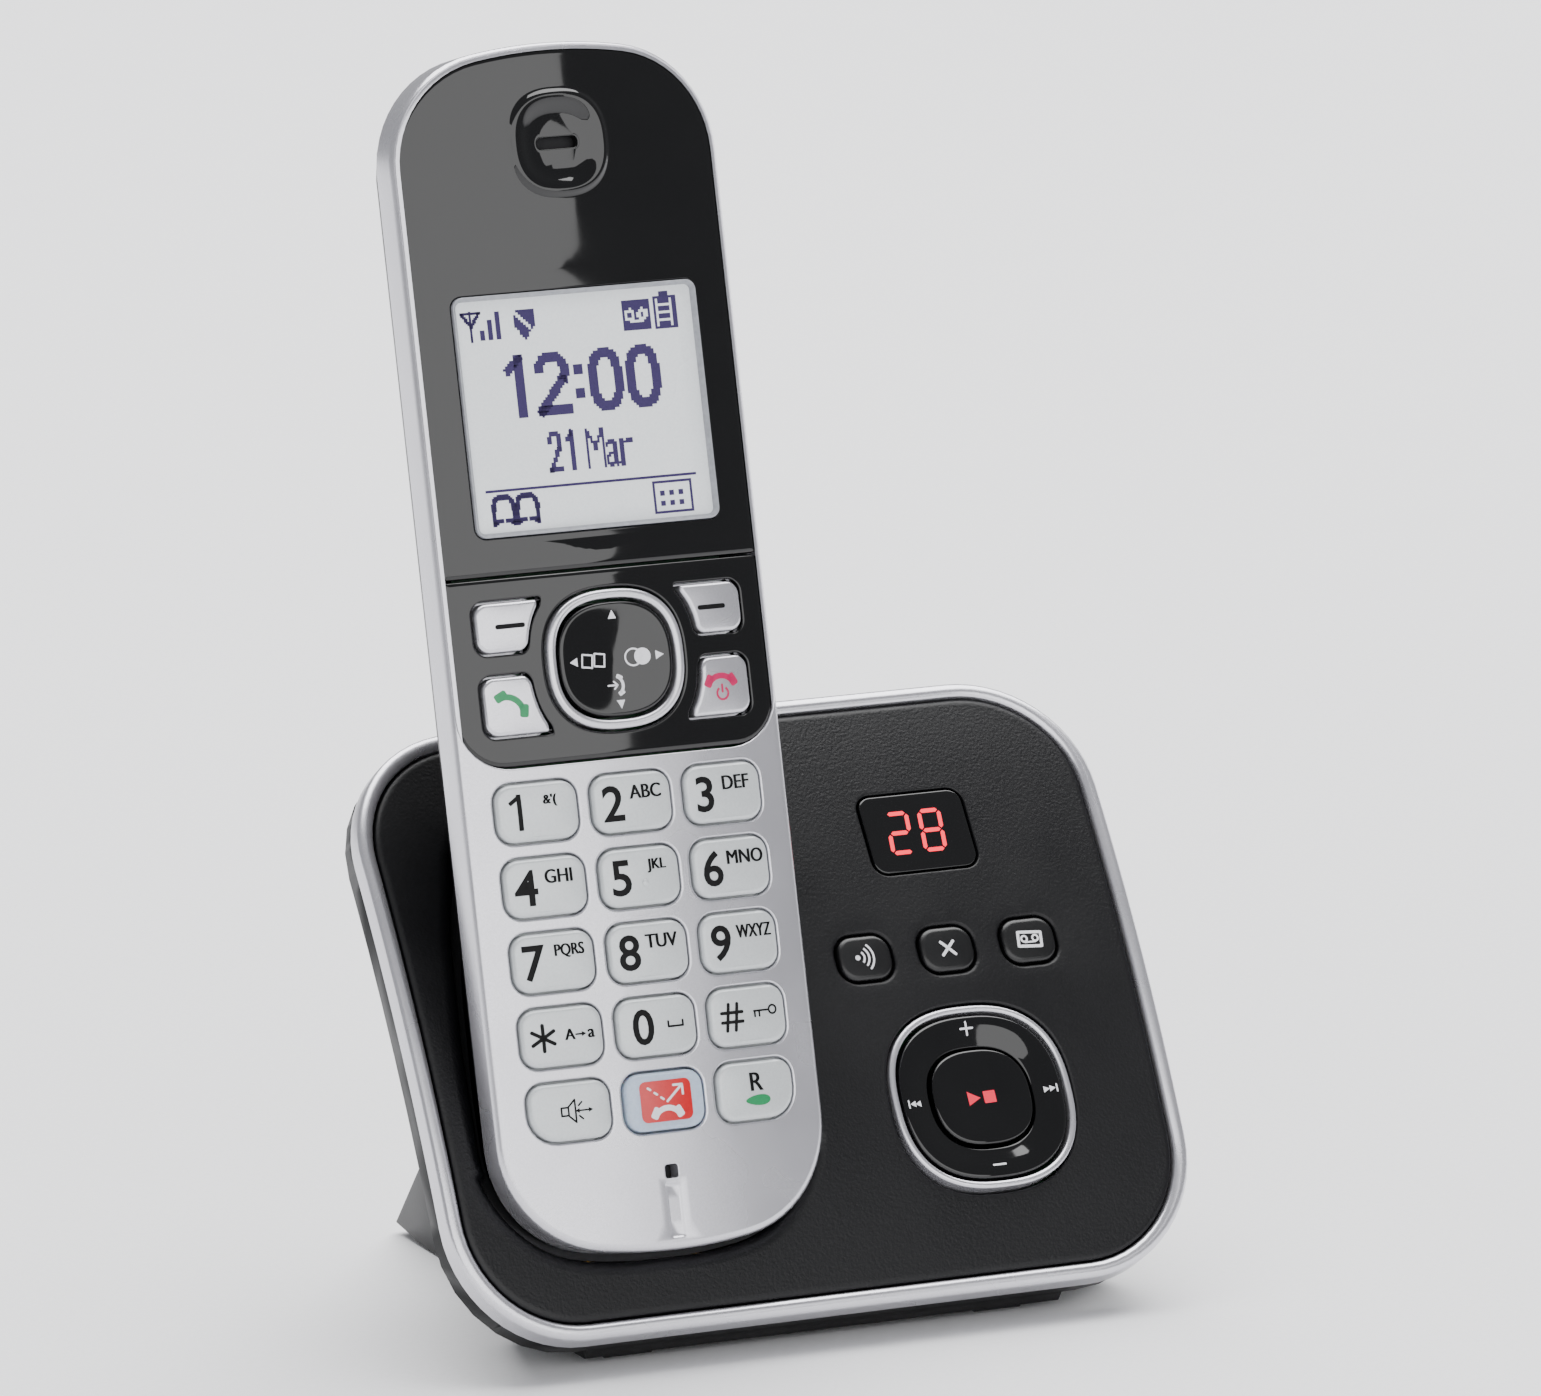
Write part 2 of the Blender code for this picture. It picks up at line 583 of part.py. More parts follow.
def make_handset_inside(frame):
    rest = FACE_BACK + 2 * FIT + FLANGE_DEPTH + KEY_TRAVEL
    low = KEY_TOP_ROW - len(KEY_ROWS) * KEY_ROW_PITCH + KEY_ROW_PITCH / 2
    high = KEY_TOP_ROW + KEY_HEIGHT / 2
    width = 2 * KEY_PITCH + KEY_WIDTH
    mat = rectangle(0, (low + high) / 2, width, high - low, 2 * MM)
    finish_node(prism("keypad_mat", mat, rest, rest + 0.8 * MM), frame, SILICONE)
    front = rest + 0.8 * MM + FIT
    board = rectangle(0, (low + COVER_BOTTOM + LENS_HEIGHT) / 2, BOARD_WIDTH, COVER_BOTTOM + LENS_HEIGHT - low, 3 * MM)
    finish_node(prism("handset_circuit_board", board, front + 1 * MM, front + 2.2 * MM), frame, BOARD)
    receiver = circle(0, EARPIECE_CENTRE - 1 * MM, RECEIVER_SIZE)
    back = COVER_THICKNESS + FIT + 0.3 * MM
    finish_node(prism("earpiece_receiver", receiver, back, back + RECEIVER_DEPTH), frame, METAL)
    speaker = circle(0, SPEAKER_CENTRE, SPEAKER_SIZE)
    finish_node(prism("handset_speaker", speaker, *SPEAKER_DEPTHS), frame, METAL)
    mic = circle(0, MIC_CENTRE, 4 * MM, 16)
    finish_node(prism("microphone", mic, FACE_BACK + FIT, FACE_BACK + FIT + 1.8 * MM), frame, METAL)
    for side, word in ((-1, "left"), (1, "right")):
        make_cell(frame, "battery_" + word, side * (CELL_DIAMETER / 2 + FIT))


def make_cell(frame, name, x):
    depth = rear_depth(COVER_SPLIT) - CELL_DIAMETER / 2 - FIT
    rings = []
    nub = 1.2 * MM
    for radius, z in ((CELL_DIAMETER / 2, 0), (CELL_DIAMETER / 2, CELL_LENGTH - nub),
                      (CELL_DIAMETER / 5, CELL_LENGTH - nub), (CELL_DIAMETER / 5, CELL_LENGTH)):
        ring = circle(x, depth, 2 * radius, 20)
        rings.append([(px, py, CELL_BOTTOM + z) for px, py in ring])
    finish_node(loft(name, rings), frame, CELL, smooth=True)


# Base.

def base_outline(inset):
    return rectangle(0, 0, PANEL_WIDTH - 2 * inset, PANEL_HEIGHT - 2 * inset, PANEL_OUTER_CORNER - inset, 7)


def base_drop(x, z):
    return panel_drop(z)


def pocket_solid(name, clear, wall):
    """The handset's shape with room round it, run on upward so that the handset lifts straight out."""
    rings = []
    drop_down = BATTERY_COVER_TRAVEL + 1 * MM
    for depth, share in [(-20 * MM, None)] + [(rear_depth(s), s) for s, _ in REAR_SHAPE]:
        inset = 0 if share is None else rear_inset(share) if share else 0
        extra = drop_down if share and share >= COVER_SPLIT - 0.01 else 0
        if share == 1:
            depth += clear + wall
        rings.append(at_depth(pocket_outline(inset - clear - wall, extra, 2 * HANDSET_LENGTH), depth))
    return loft(name, rings)


def base_holes():
    """The window's, the buttons' and the dial's outlines in the panel."""
    x, z, width, height = WINDOW
    yield "window", rectangle(x, z, width, height, 2 * MM)
    for name, outline, _ in base_buttons():
        yield name, outline
    yield "dial", squircle(*DIAL_CENTRE, DIAL_WIDTH, DIAL_HEIGHT)


def base_buttons():
    buttons = []
    for i, name in enumerate(("locator_button", "erase_button", "answer_button")):
        x = BUTTON_FIRST + i * BUTTON_PITCH
        outline = rectangle(x, BUTTON_ROW, BUTTON_WIDTH, BUTTON_HEIGHT, BUTTON_CORNER)
        buttons.append((name, outline, (x, panel_drop(BUTTON_ROW), BUTTON_ROW)))
    return buttons


def make_panel(frame, handset_frame):
    panel = prism("base_panel", base_outline(TRIM_WIDTH + FIT), -3 * MM, 12 * MM)
    keep(panel, panel_slab("panel_plate", 0, PANEL_THICKNESS))
    limits = (panel_slab("pocket_depth", 0.6 * MM, 60 * MM),
              prism("pocket_reach", base_outline(TRIM_WIDTH + 2 * FIT), -20 * MM, 70 * MM))
    for limit in limits:
        settle(limit, frame)
    shell = keep(pocket_solid("pocket_shell", POCKET_CLEAR, POCKET_WALL), *limits)
    pocket = pocket_solid("pocket", POCKET_CLEAR, 0)
    pins = [pin_solid("pin_hole", side, FIT, 30 * MM) for side in (-1, 1)]
    for helper in [shell, pocket] + pins:
        settle(helper, handset_frame)
    add(panel, shell)
    cut(panel, pocket, *pins)
    for name, outline in base_holes():
        cut(panel, key_hole(name + "_opening", outline))
    finish_node(panel, frame, DARK)


def make_trim(frame, handset_frame):
    trim = prism("base_trim", base_outline(0), -5 * MM, 15 * MM)
    keep(trim, panel_slab("trim_depth", -TRIM_PROUD, TRIM_DEPTH))
    room = pocket_solid("trim_room", POCKET_CLEAR, 0)
    settle(room, handset_frame)
    cut(trim, prism("trim_opening", base_outline(TRIM_WIDTH), -9 * MM, 20 * MM), room)
    finish_node(trim, frame, SILVER)


def housing(name, wall):
    """The bulge behind the panel that holds the pocket and the electronics."""
    rings = []
    for depth, side, low, high in HOUSING_STAGES:
        half = PANEL_WIDTH / 2 - side - wall
        bottom = -PANEL_HEIGHT / 2 + low + wall
        top = PANEL_HEIGHT / 2 - high - wall
        outline = rectangle(0, (top + bottom) / 2, 2 * half, top - bottom, HOUSING_CORNER - wall, 5)
        rings.append(at_depth(outline, depth - (wall if depth == HOUSING_DEPTH else 0)))
    return loft(name, rings)


def bay_box(name, wall):
    low = (BAY_X[0] + wall, 5 * MM, BAY_Z[0] + wall)
    return box(name, low, (BAY_X[1] - wall, BAY_BACK - wall, BAY_Z[1] - wall))


def above_floor(name, height):
    return box(name, (-PANEL_WIDTH, -PANEL_WIDTH, height), (PANEL_WIDTH, 2 * PANEL_WIDTH, 2 * PANEL_WIDTH))


def make_lower_case(frame, root, handset_frame):
    front = TRIM_DEPTH + FIT
    back = front + RIM_DEPTH
    case = prism("base_lower_case", base_outline(RIM_STEP), -5 * MM, 25 * MM)
    keep(case, panel_slab("rim_depth", front, back))
    add(case, keep(housing("housing", 0), panel_slab("housing_depth", front + 1 * MM, 70 * MM)))
    profile = [(-3.2 * MM, SOLE), (30 * MM, SOLE), (30 * MM, 9 * MM), (-2 * MM, 9 * MM), (-4.6 * MM, 3.2 * MM)]
    sole = side_prism("sole", profile, -SOLE_HALF, SOLE_HALF)
    bay = bay_box("connector_bay", 0)
    add(case, sole, bay)
    inner = prism("rim_hollow", base_outline(RIM_STEP + WALL), -5 * MM, 25 * MM)
    keep(inner, panel_slab("rim_hollow_depth", -5 * MM, back - WALL))
    floor = above_floor("case_floor", SOLE + FLOOR)
    ground = above_floor("case_ground", SOLE)
    bay_inside = bay_box("bay_hollow", WALL)
    shell = pocket_solid("pocket_room", POCKET_CLEAR, POCKET_WALL + FIT)
    settle(shell, handset_frame)
    recesses = [foot_solid("foot_recess", side, FIT) for side in (-1, 1)]
    sockets = [line_socket_body("line_hole", FIT), power_socket_body("power_hole", FIT)]
    for helper in [sole, bay, bay_inside, floor, ground] + recesses + sockets:
        settle(helper, root)
    cut(case, keep(inner, floor), keep(housing("housing_hollow", WALL), floor), bay_inside, shell)
    keep(case, ground)
    cut(case, *recesses, *sockets)
    finish_node(case, frame, DARK)


def make_counter(frame):
    x, z, width, height = WINDOW
    lens = key_solid("counter_window", rectangle(x, z, width, height, 2 * MM), base_drop, 0, 3.4 * MM, 0)
    finish_node(lens, frame, GLOSS)
    module = rectangle(x, z, width - 2 * MM, height - 2 * MM, 0.5 * MM, 1)
    finish_node(prism("counter_display", module, 3.4 * MM + FIT, 8 * MM), frame, LED)


def make_base_buttons(frame):
    back = PANEL_THICKNESS + panel_drop(BUTTON_ROW + BUTTON_HEIGHT) + FIT + FLANGE_DEPTH
    for name, outline, origin in base_buttons():
        finish_node(key_solid(name, outline, base_drop, 0.3 * MM, back, 0.8 * MM), frame, GLOSS, origin)


def make_dial(frame):
    x, z = DIAL_CENTRE
    drop = panel_drop(z)
    make_ring(frame, "base_navigator_trim", DIAL_CENTRE, (DIAL_WIDTH, DIAL_HEIGHT), DIAL_BAND, drop)
    shrink = 2 * DIAL_BAND + 2 * NAV_GAP
    key = prism("base_navigator_key", squircle(x, z, DIAL_WIDTH - shrink, DIAL_HEIGHT - shrink), drop - 0.3 * MM,
                drop + 3.2 * MM)
    hole = squircle(x, z, PLAY_WIDTH + 2 * NAV_GAP, PLAY_HEIGHT + 2 * NAV_GAP, 28)
    cut(key, prism("dial_opening", hole, drop - 5 * MM, drop + 9 * MM))
    origin = (x, drop + 4 * MM, z)
    finish_node(key, frame, GLOSS, origin)
    pivot = prism("base_navigator_pivot", squircle(x, z, DIAL_WIDTH - 5 * MM, DIAL_HEIGHT - 5 * MM, 28),
                  drop + 3.2 * MM + FIT, drop + 4.4 * MM)
    cut(pivot, prism("pivot_opening", hole, drop - 5 * MM, drop + 9 * MM))
    finish_node(pivot, frame, DARK, origin)
    play = key_solid("play_stop_button", squircle(x, z, PLAY_WIDTH, PLAY_HEIGHT, 28), lambda px, pz: drop,
                     0.3 * MM, drop + 5 * MM, 0)
    finish_node(play, frame, GLOSS, (x, drop, z))


def make_base_inside(frame):
    left = HANDSET_X + HANDSET_WIDTH / 2 + POCKET_CLEAR + POCKET_WALL + 1 * MM
    right = PANEL_WIDTH / 2 - 10 * MM
    board = rectangle((left + right) / 2, -5 * MM, right - left, 54 * MM, 2 * MM)
    finish_node(prism("base_circuit_board", board, 9 * MM, 10.6 * MM), frame, BOARD)
    speaker = circle((left + right) / 2, -8 * MM, 28 * MM)
    finish_node(prism("base_speaker", speaker, 11.4 * MM, 15 * MM), frame, METAL)


def line_socket_body(name, grow):
    x = sum(BAY_X) / 2
    half = LINE_PLUG[0] / 2 + 1.6 * MM + grow
    low = BAY_Z[0] + WALL + 1 * MM - grow
    high = low + LINE_PLUG[1] + 3.2 * MM + 2 * grow
    back = BAY_BACK + (2 * MM if grow else -FIT)
    return box(name, (x - half, BAY_BACK - LINE_PLUG[2] - 1.6 * MM - grow, low), (x + half, back, high))


def power_socket_body(name, grow):
    x = sum(BAY_X) / 2
    half = POWER_BORE / 2 + 1.4 * MM + grow
    middle = BAY_Z[1] - WALL - POWER_BORE / 2 - 2.4 * MM
    back = BAY_BACK + (2 * MM if grow else -FIT)
    return box(name, (x - half, BAY_BACK - 12 * MM - grow, middle - half), (x + half, back, middle + half))


def make_sockets(root):
    x = sum(BAY_X) / 2
    line = line_socket_body("line_socket", 0)
    low = BAY_Z[0] + WALL + 2.6 * MM
    cut(line, box("plug_space", (x - LINE_PLUG[0] / 2, BAY_BACK - LINE_PLUG[2], low),
                  (x + LINE_PLUG[0] / 2, BAY_BACK + 5 * MM, low + LINE_PLUG[1])))
    finish_node(line, root, DARK)
    power = power_socket_body("power_socket", 0)
    middle = BAY_Z[1] - WALL - POWER_BORE / 2 - 2.4 * MM
    bore = prism("power_bore", circle(x, middle, POWER_BORE), BAY_BACK - 10 * MM, BAY_BACK + 5 * MM)
    cut(power, bore)
    add(power, prism("power_pin", circle(x, middle, POWER_PIN, 12), BAY_BACK - 11 * MM, BAY_BACK - 2 * MM))
    finish_node(power, root, DARK)


def pin_solid(name, side, grow, length):
    """A charging pin standing under a plate, in the handset frame."""
    top = charge_height() - FIT + (5 * MM if grow else 0)
    ring = circle(side * CHARGE_OFFSET, CHARGE_DEPTH + 2 * MM, CHARGE_PIN + 2 * grow, 16)
    rings = [[(x, y, z) for x, y in ring] for z in (top - length, top)]
    return loft(name, rings)


def make_pins(frame):
    for side, word in ((-1, "left"), (1, "right")):
        finish_node(pin_solid("charge_pin_" + word, side, 0, CHARGE_PIN_LENGTH), frame, METAL)


def foot_solid(name, side, grow):
    rings = []
    top = SOLE + FOOT_SINK + grow - FIT
    for z, flare in ((0 if not grow else -1 * MM, 0 if not grow else FOOT_FLARE), (top, FOOT_FLARE)):
        half = FOOT_WIDTH / 2 + flare + grow
        depth = FOOT_LENGTH / 2 + grow
        middle = FOOT_LENGTH / 2
        rings.append([(side * FOOT_X + half, middle - depth, z), (side * FOOT_X + half, middle + depth, z),
                      (side * FOOT_X - half, middle + depth, z), (side * FOOT_X - half, middle - depth, z)])
    return loft(name, rings)


def panel_point(height, depth):
    """(y, z) in the base's own frame of a point up the panel and into it."""
    lean = math.radians(PANEL_LEAN)
    y, z = panel_origin()
    return (y + height * math.sin(lean) + depth * math.cos(lean),
            z + height * math.cos(lean) - depth * math.sin(lean))


def panel_origin():
    """Where the middle of the panel lies, from the front feet: the trim's lowest ridge sets it."""
    lean = math.radians(PANEL_LEAN)
    half = PANEL_HEIGHT / 2
    drop = panel_drop(half)
    return (half * math.sin(lean) - drop * math.cos(lean) - FOOT_SETBACK,
            half * math.cos(lean) + drop * math.sin(lean) + TRIM_FOOT)


def stand_profile(inset):
    slope = math.radians(STAND_ANGLE)
    tail = (STAND_HEEL + STAND_TAIL[0], STAND_TAIL[1])
    plane = panel_point(0, HOUSING_DEPTH + FIT)
    lean = math.radians(PANEL_LEAN)
    # The back of the stand runs up from its tail until it meets the housing's flat back.
    across, up = -math.cos(slope), math.sin(slope)
    gap = (plane[0] - tail[0], plane[1] - tail[1])
    rise = ((gap[0] * math.cos(lean) - gap[1] * math.sin(lean))
            / (across * math.cos(lean) - up * math.sin(lean)))
    top = (tail[0] + rise * across, tail[1] + rise * up)
    foot = panel_point(STAND_FOOT, HOUSING_DEPTH + FIT)
    heel = (STAND_HEEL, HEEL_LIFT)
    toe = (STAND_HEEL - 12 * MM, HEEL_LIFT)
    points = [toe, heel, tail, top, foot]
    return points if not inset else grown([(y, z) for y, z in points], -inset)


def make_stand(root):
    half = STAND_WIDTH / 2
    stand = side_prism("stand", stand_profile(0), -half, half)
    inside = stand_profile(STAND_WALL)
    hollow = side_prism("stand_hollow", inside, -half + STAND_WALL, half - STAND_WALL)
    floor = [(STAND_HEEL - 40 * MM, 4 * MM), (STAND_HEEL - 12 * MM, -9 * MM),
             (STAND_HEEL - 13 * MM, 12 * MM), (STAND_HEEL - 30 * MM, 25 * MM)]
    mouth = side_prism("stand_mouth", floor, -half + STAND_WALL, half - STAND_WALL)
    cut(stand, hollow, mouth, pad_solid("pad_recess", FIT))
    finish_node(stand, root, DARK)
    finish_node(pad_solid("rear_pad", 0), root, RUBBER)


def pad_solid(name, grow):
    half = STAND_WIDTH / 2 - 6 * MM + grow
    bottom = -1 * MM if grow else 0
    low = (-half, STAND_HEEL - 9 * MM - grow, bottom)
    return box(name, low, (half, STAND_HEEL - 2 * MM + grow, HEEL_LIFT + FOOT_SINK + grow - FIT))


def make_feet(root):
    for side, word in ((-1, "left"), (1, "right")):
        finish_node(foot_solid("front_foot_" + word, side, 0), root, RUBBER)


def empty(name, parent, location, lean=0.0):
    frame = bpy.data.objects.new(name, None)
    bpy.context.scene.collection.objects.link(frame)
    frame.parent = parent
    frame.location = location
    frame.rotation_euler = (-math.radians(lean), 0, 0)
    return frame


def handset_foot():
    """Where the lower end of the handset's face stands: up the panel, and into it."""
    up = -PANEL_HEIGHT / 2 + HANDSET_FOOT
    return up, panel_drop(up) - HANDSET_PROUD


def base_depth_middle():
    """The middle of the base from front to back, measured from the front feet."""
    trim = panel_point(-PANEL_HEIGHT / 2, panel_drop(PANEL_HEIGHT / 2) - TRIM_PROUD)[0]
    handset = panel_point(*handset_foot())[0]
    return (min(trim, handset) + STAND_HEEL + STAND_TAIL[0]) / 2


def build():
    for obj in list(bpy.data.objects):
        bpy.data.objects.remove(obj)
    root = empty("phone_origin", None, (0, -base_depth_middle(), 0))
    panel = empty("panel_frame", root, (0, *panel_origin()), PANEL_LEAN)
    up, depth = handset_foot()
    handset = empty("handset_frame", panel, (HANDSET_X, depth, up), HANDSET_LEAN - PANEL_LEAN)
    make_front_case(handset)
    make_rear_case(handset)
    make_battery_cover(handset)
    make_charge_plates(handset)
    make_display(handset)
    make_navigation(handset)
    make_keys(handset)
    make_handset_inside(handset)
    make_pins(handset)
    make_panel(panel, handset)
    make_trim(panel, handset)
    make_lower_case(panel, root, handset)
    make_counter(panel)
    make_base_buttons(panel)
    make_dial(panel)
    make_base_inside(panel)
    make_sockets(root)
    make_feet(root)
    make_stand(root)


build()
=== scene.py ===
import math
import bpy
import bmesh
import numpy as np
from mathutils import Matrix, Vector
from mathutils.geometry import delaunay_2d_cdt


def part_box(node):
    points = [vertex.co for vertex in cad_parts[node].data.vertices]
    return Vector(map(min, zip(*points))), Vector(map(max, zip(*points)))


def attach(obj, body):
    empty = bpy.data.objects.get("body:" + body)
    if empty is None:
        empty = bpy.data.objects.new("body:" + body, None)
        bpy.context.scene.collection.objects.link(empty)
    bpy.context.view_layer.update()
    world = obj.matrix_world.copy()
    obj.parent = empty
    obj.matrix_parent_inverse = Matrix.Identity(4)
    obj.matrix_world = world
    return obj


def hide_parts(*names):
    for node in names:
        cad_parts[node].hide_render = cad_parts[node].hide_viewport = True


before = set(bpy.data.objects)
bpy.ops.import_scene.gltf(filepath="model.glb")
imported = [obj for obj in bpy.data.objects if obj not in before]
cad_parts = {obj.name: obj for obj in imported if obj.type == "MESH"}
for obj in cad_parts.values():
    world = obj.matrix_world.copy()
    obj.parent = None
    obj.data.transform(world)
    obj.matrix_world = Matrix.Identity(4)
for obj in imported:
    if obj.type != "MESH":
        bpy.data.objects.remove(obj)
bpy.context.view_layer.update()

mm = 0.001


def inMm(**sizes):
    # lengths given in millimetres, kept in metres
    return {key: tuple(size * mm for size in value) if isinstance(value, tuple) else value * mm
            for key, value in sizes.items()}


# the handset and the base panel each have their own place: X right, Z up the face and Y into it

body = dict(inMm(length=165.2, width=48.5, thickness=25, corner=15.5, sweep=70, crown=180, caseDepth=7,
                 coverMargin=0.95, panelBottom=67.5, panelCorner=7), lean=15)
base = dict(inMm(width=112, height=88.4, corner=18, crown=270, trim=2.2, trimProud=0.4,
                 trimDepth=3.1), lean=32.5)


def frameFrom(origin, lean):
    return Matrix.Translation(origin) @ Matrix.Rotation(-math.radians(lean), 4, "X")


def handsetPlace():
    low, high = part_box("handset_front_case")
    top = high[2] - body["length"] * math.cos(math.radians(body["lean"]))
    return frameFrom(((low[0] + high[0]) / 2, low[1], top), body["lean"])


def panelDrop(z):
    return z * z / (2 * base["crown"])


def faceDrop(x):
    return x * x / (2 * body["crown"])


def panelPlace():
    low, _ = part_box("base_trim")
    lean = math.radians(base["lean"])
    half = base["height"] / 2
    y = low[1] + half * math.sin(lean) - (panelDrop(half) - base["trimProud"]) * math.cos(lean)
    z = low[2] + half * math.cos(lean) + (panelDrop(half) + base["trimDepth"]) * math.sin(lean)
    return frameFrom((0, y, z), base["lean"])


handsetAt = handsetPlace()
panelAt = panelPlace()
print("handset frame", [round(v * 1000, 2) for v in handsetAt.translation])
print("panel frame", [round(v * 1000, 2) for v in panelAt.translation])


# outlines: closed rows of (x, z) running anticlockwise from the front

def arc(x, z, radius, start, end, steps):
    angles = np.linspace(start, end, steps + 1)
    return np.stack([x + radius * np.cos(angles), z + radius * np.sin(angles)], 1)


def roundedBox(x, z, width, height, corner, steps=8, lowLeft=None, lowRight=None):
    radii = (lowLeft or corner, lowRight or corner, corner, corner)
    signs = ((-1, -1), (1, -1), (1, 1), (-1, 1))
    rows = []
    for i, ((sx, sz), radius) in enumerate(zip(signs, radii)):
        start = math.pi * (1 + i / 2)
        rows.append(arc(x + sx * (width / 2 - radius), z + sz * (height / 2 - radius), radius, start,
                        start + math.pi / 2, steps))
    return np.concatenate(rows)


def squircle(x, z, width, height, power=2.5, count=96):
    angles = np.linspace(0, 2 * math.pi, count, endpoint=False)
    c, s = np.cos(angles), np.sin(angles)
    return np.stack([x + width / 2 * np.sign(c) * abs(c) ** (2 / power),
                     z + height / 2 * np.sign(s) * abs(s) ** (2 / power)], 1)


def endRow(half, end, corner, sweep, steps=12):
    across = half - corner
    rise = math.sqrt((sweep - corner) ** 2 - across ** 2)
    tilt = math.atan2(rise, across)
    middle = end + sweep
    return np.concatenate([arc(-across, middle - rise, corner, math.pi, math.pi + tilt, steps),
                           arc(0, middle, sweep, math.pi + tilt, 2 * math.pi - tilt, steps)[1:-1],
                           arc(across, middle - rise, corner, 2 * math.pi - tilt, 2 * math.pi, steps)])


def handsetOutline(inset=0.0):
    low = endRow(body["width"] / 2 - inset, inset, body["corner"] - inset, body["sweep"] - inset)
    return evened(np.concatenate([low, low * (-1, -1) + (0, body["length"])]), 1.6 * mm)


def coverOutline(inset=0.0):
    edge = body["coverMargin"] + inset
    half = body["width"] / 2 - edge
    corner = body["panelCorner"] - inset
    low = roundedBox(0, 0, 2 * half, 30 * mm, corner)[:18] + (0, 15 * mm + body["panelBottom"] + inset)
    high = endRow(half, edge, body["corner"] - edge, body["sweep"] - edge)
    return evened(np.concatenate([low, high * (-1, -1) + (0, body["length"])]), 1.6 * mm)


def evened(loop, step):
    # puts extra points on the long straight runs, so that a crowned face stays round there
    rows = []
    for here, there in zip(loop, np.roll(loop, -1, 0)):
        count = max(1, int(np.linalg.norm(there - here) / step))
        rows.append(here + (there - here) * np.linspace(0, 1, count, endpoint=False)[:, None])
    return np.concatenate(rows)


def moved(loop, distance):
    # the loop pushed outward by distance, along the mean normal at each point
    back = loop - np.roll(loop, 1, 0)
    ahead = np.roll(loop, -1, 0) - loop
    back /= np.maximum(np.linalg.norm(back, axis=1), 1e-12)[:, None]
    ahead /= np.maximum(np.linalg.norm(ahead, axis=1), 1e-12)[:, None]
    normal = np.stack([back[:, 1] + ahead[:, 1], -back[:, 0] - ahead[:, 0]], 1)
    size = np.maximum((normal ** 2).sum(1) / 2, 0.25)
    return loop + distance * normal / size[:, None]


def inside(points, loop):
    x, z = points[:, 0], points[:, 1]
    hits = np.zeros(len(points), bool)
    for (ax, az), (bx, bz) in zip(loop, np.roll(loop, -1, 0)):
        if az != bz:
            crossing = (az > z) != (bz > z)
            hits ^= crossing & (x < (bx - ax) * (z - az) / (bz - az) + ax)
    return hits


def between(points, outer, holes):
    keep = inside(points, outer)
    for hole in holes:
        keep &= ~inside(points, hole)
    return keep


# solids

def depthAt(depth, loop):
    # a depth may be a number, or a function of x and z
    return depth(loop[:, 0], loop[:, 1]) if callable(depth) else np.full(len(loop), float(depth))


def placed(name, data):
    piece = bpy.data.objects.new(name, data)
    bpy.context.scene.collection.objects.link(piece)
    return piece


def solidFrom(name, points, faces, place, material, sharp=40):
    mesh = bpy.data.meshes.new(name)
    mesh.from_pydata([tuple(point) for point in points], [], faces)
    shape = bmesh.new()
    shape.from_mesh(mesh)
    bmesh.ops.remove_doubles(shape, verts=shape.verts, dist=0.5e-6)
    bmesh.ops.recalc_face_normals(shape, faces=shape.faces)
    shape.to_mesh(mesh)
    shape.free()
    mesh.transform(place)
    mesh.shade_smooth()
    mesh.set_sharp_from_angle(angle=math.radians(sharp))
    mesh.materials.append(material)
    return placed(name, mesh)


def fillBetween(outer, holes, spacing, creases=()):
    # triangles over the area inside outer and outside the holes, with an even grid of points between
    loops = [outer] + list(holes)
    fixed = np.concatenate(loops + list(creases))
    low, high = outer.min(0), outer.max(0)
    count = np.maximum(np.ceil((high - low) / spacing).astype(int), 1)
    grid = np.stack(np.meshgrid(np.linspace(low[0], high[0], count[0] + 1),
                                np.linspace(low[1], high[1], count[1] + 1)), -1).reshape(-1, 2)
    grid = grid[between(grid, outer, holes)]
    if len(grid):
        near = np.array([np.min(((fixed - point) ** 2).sum(1)) for point in grid])
        grid = grid[near > (0.55 * min(spacing)) ** 2]
    points = np.concatenate([fixed, grid]) if len(grid) else fixed
    edges = []
    start = 0
    for loop in loops + list(creases):
        edges += [(start + i, start + (i + 1) % len(loop)) for i in range(len(loop))]
        start += len(loop)
    found, _, triangles, kept, _, _ = delaunay_2d_cdt([Vector(p) for p in points], edges, [], 0, 1e-9)
    found = np.array([tuple(p) for p in found])
    triangles = np.array([t for t in triangles if len(t) == 3])
    middle = found[triangles].mean(1)
    keep = between(middle, outer, holes)
    order = np.full(len(points), -1)
    for i, sources in enumerate(kept):
        for source in sources:
            order[source] = i
    return found, triangles[keep], order


backSpacing = (9 * mm, 9 * mm)


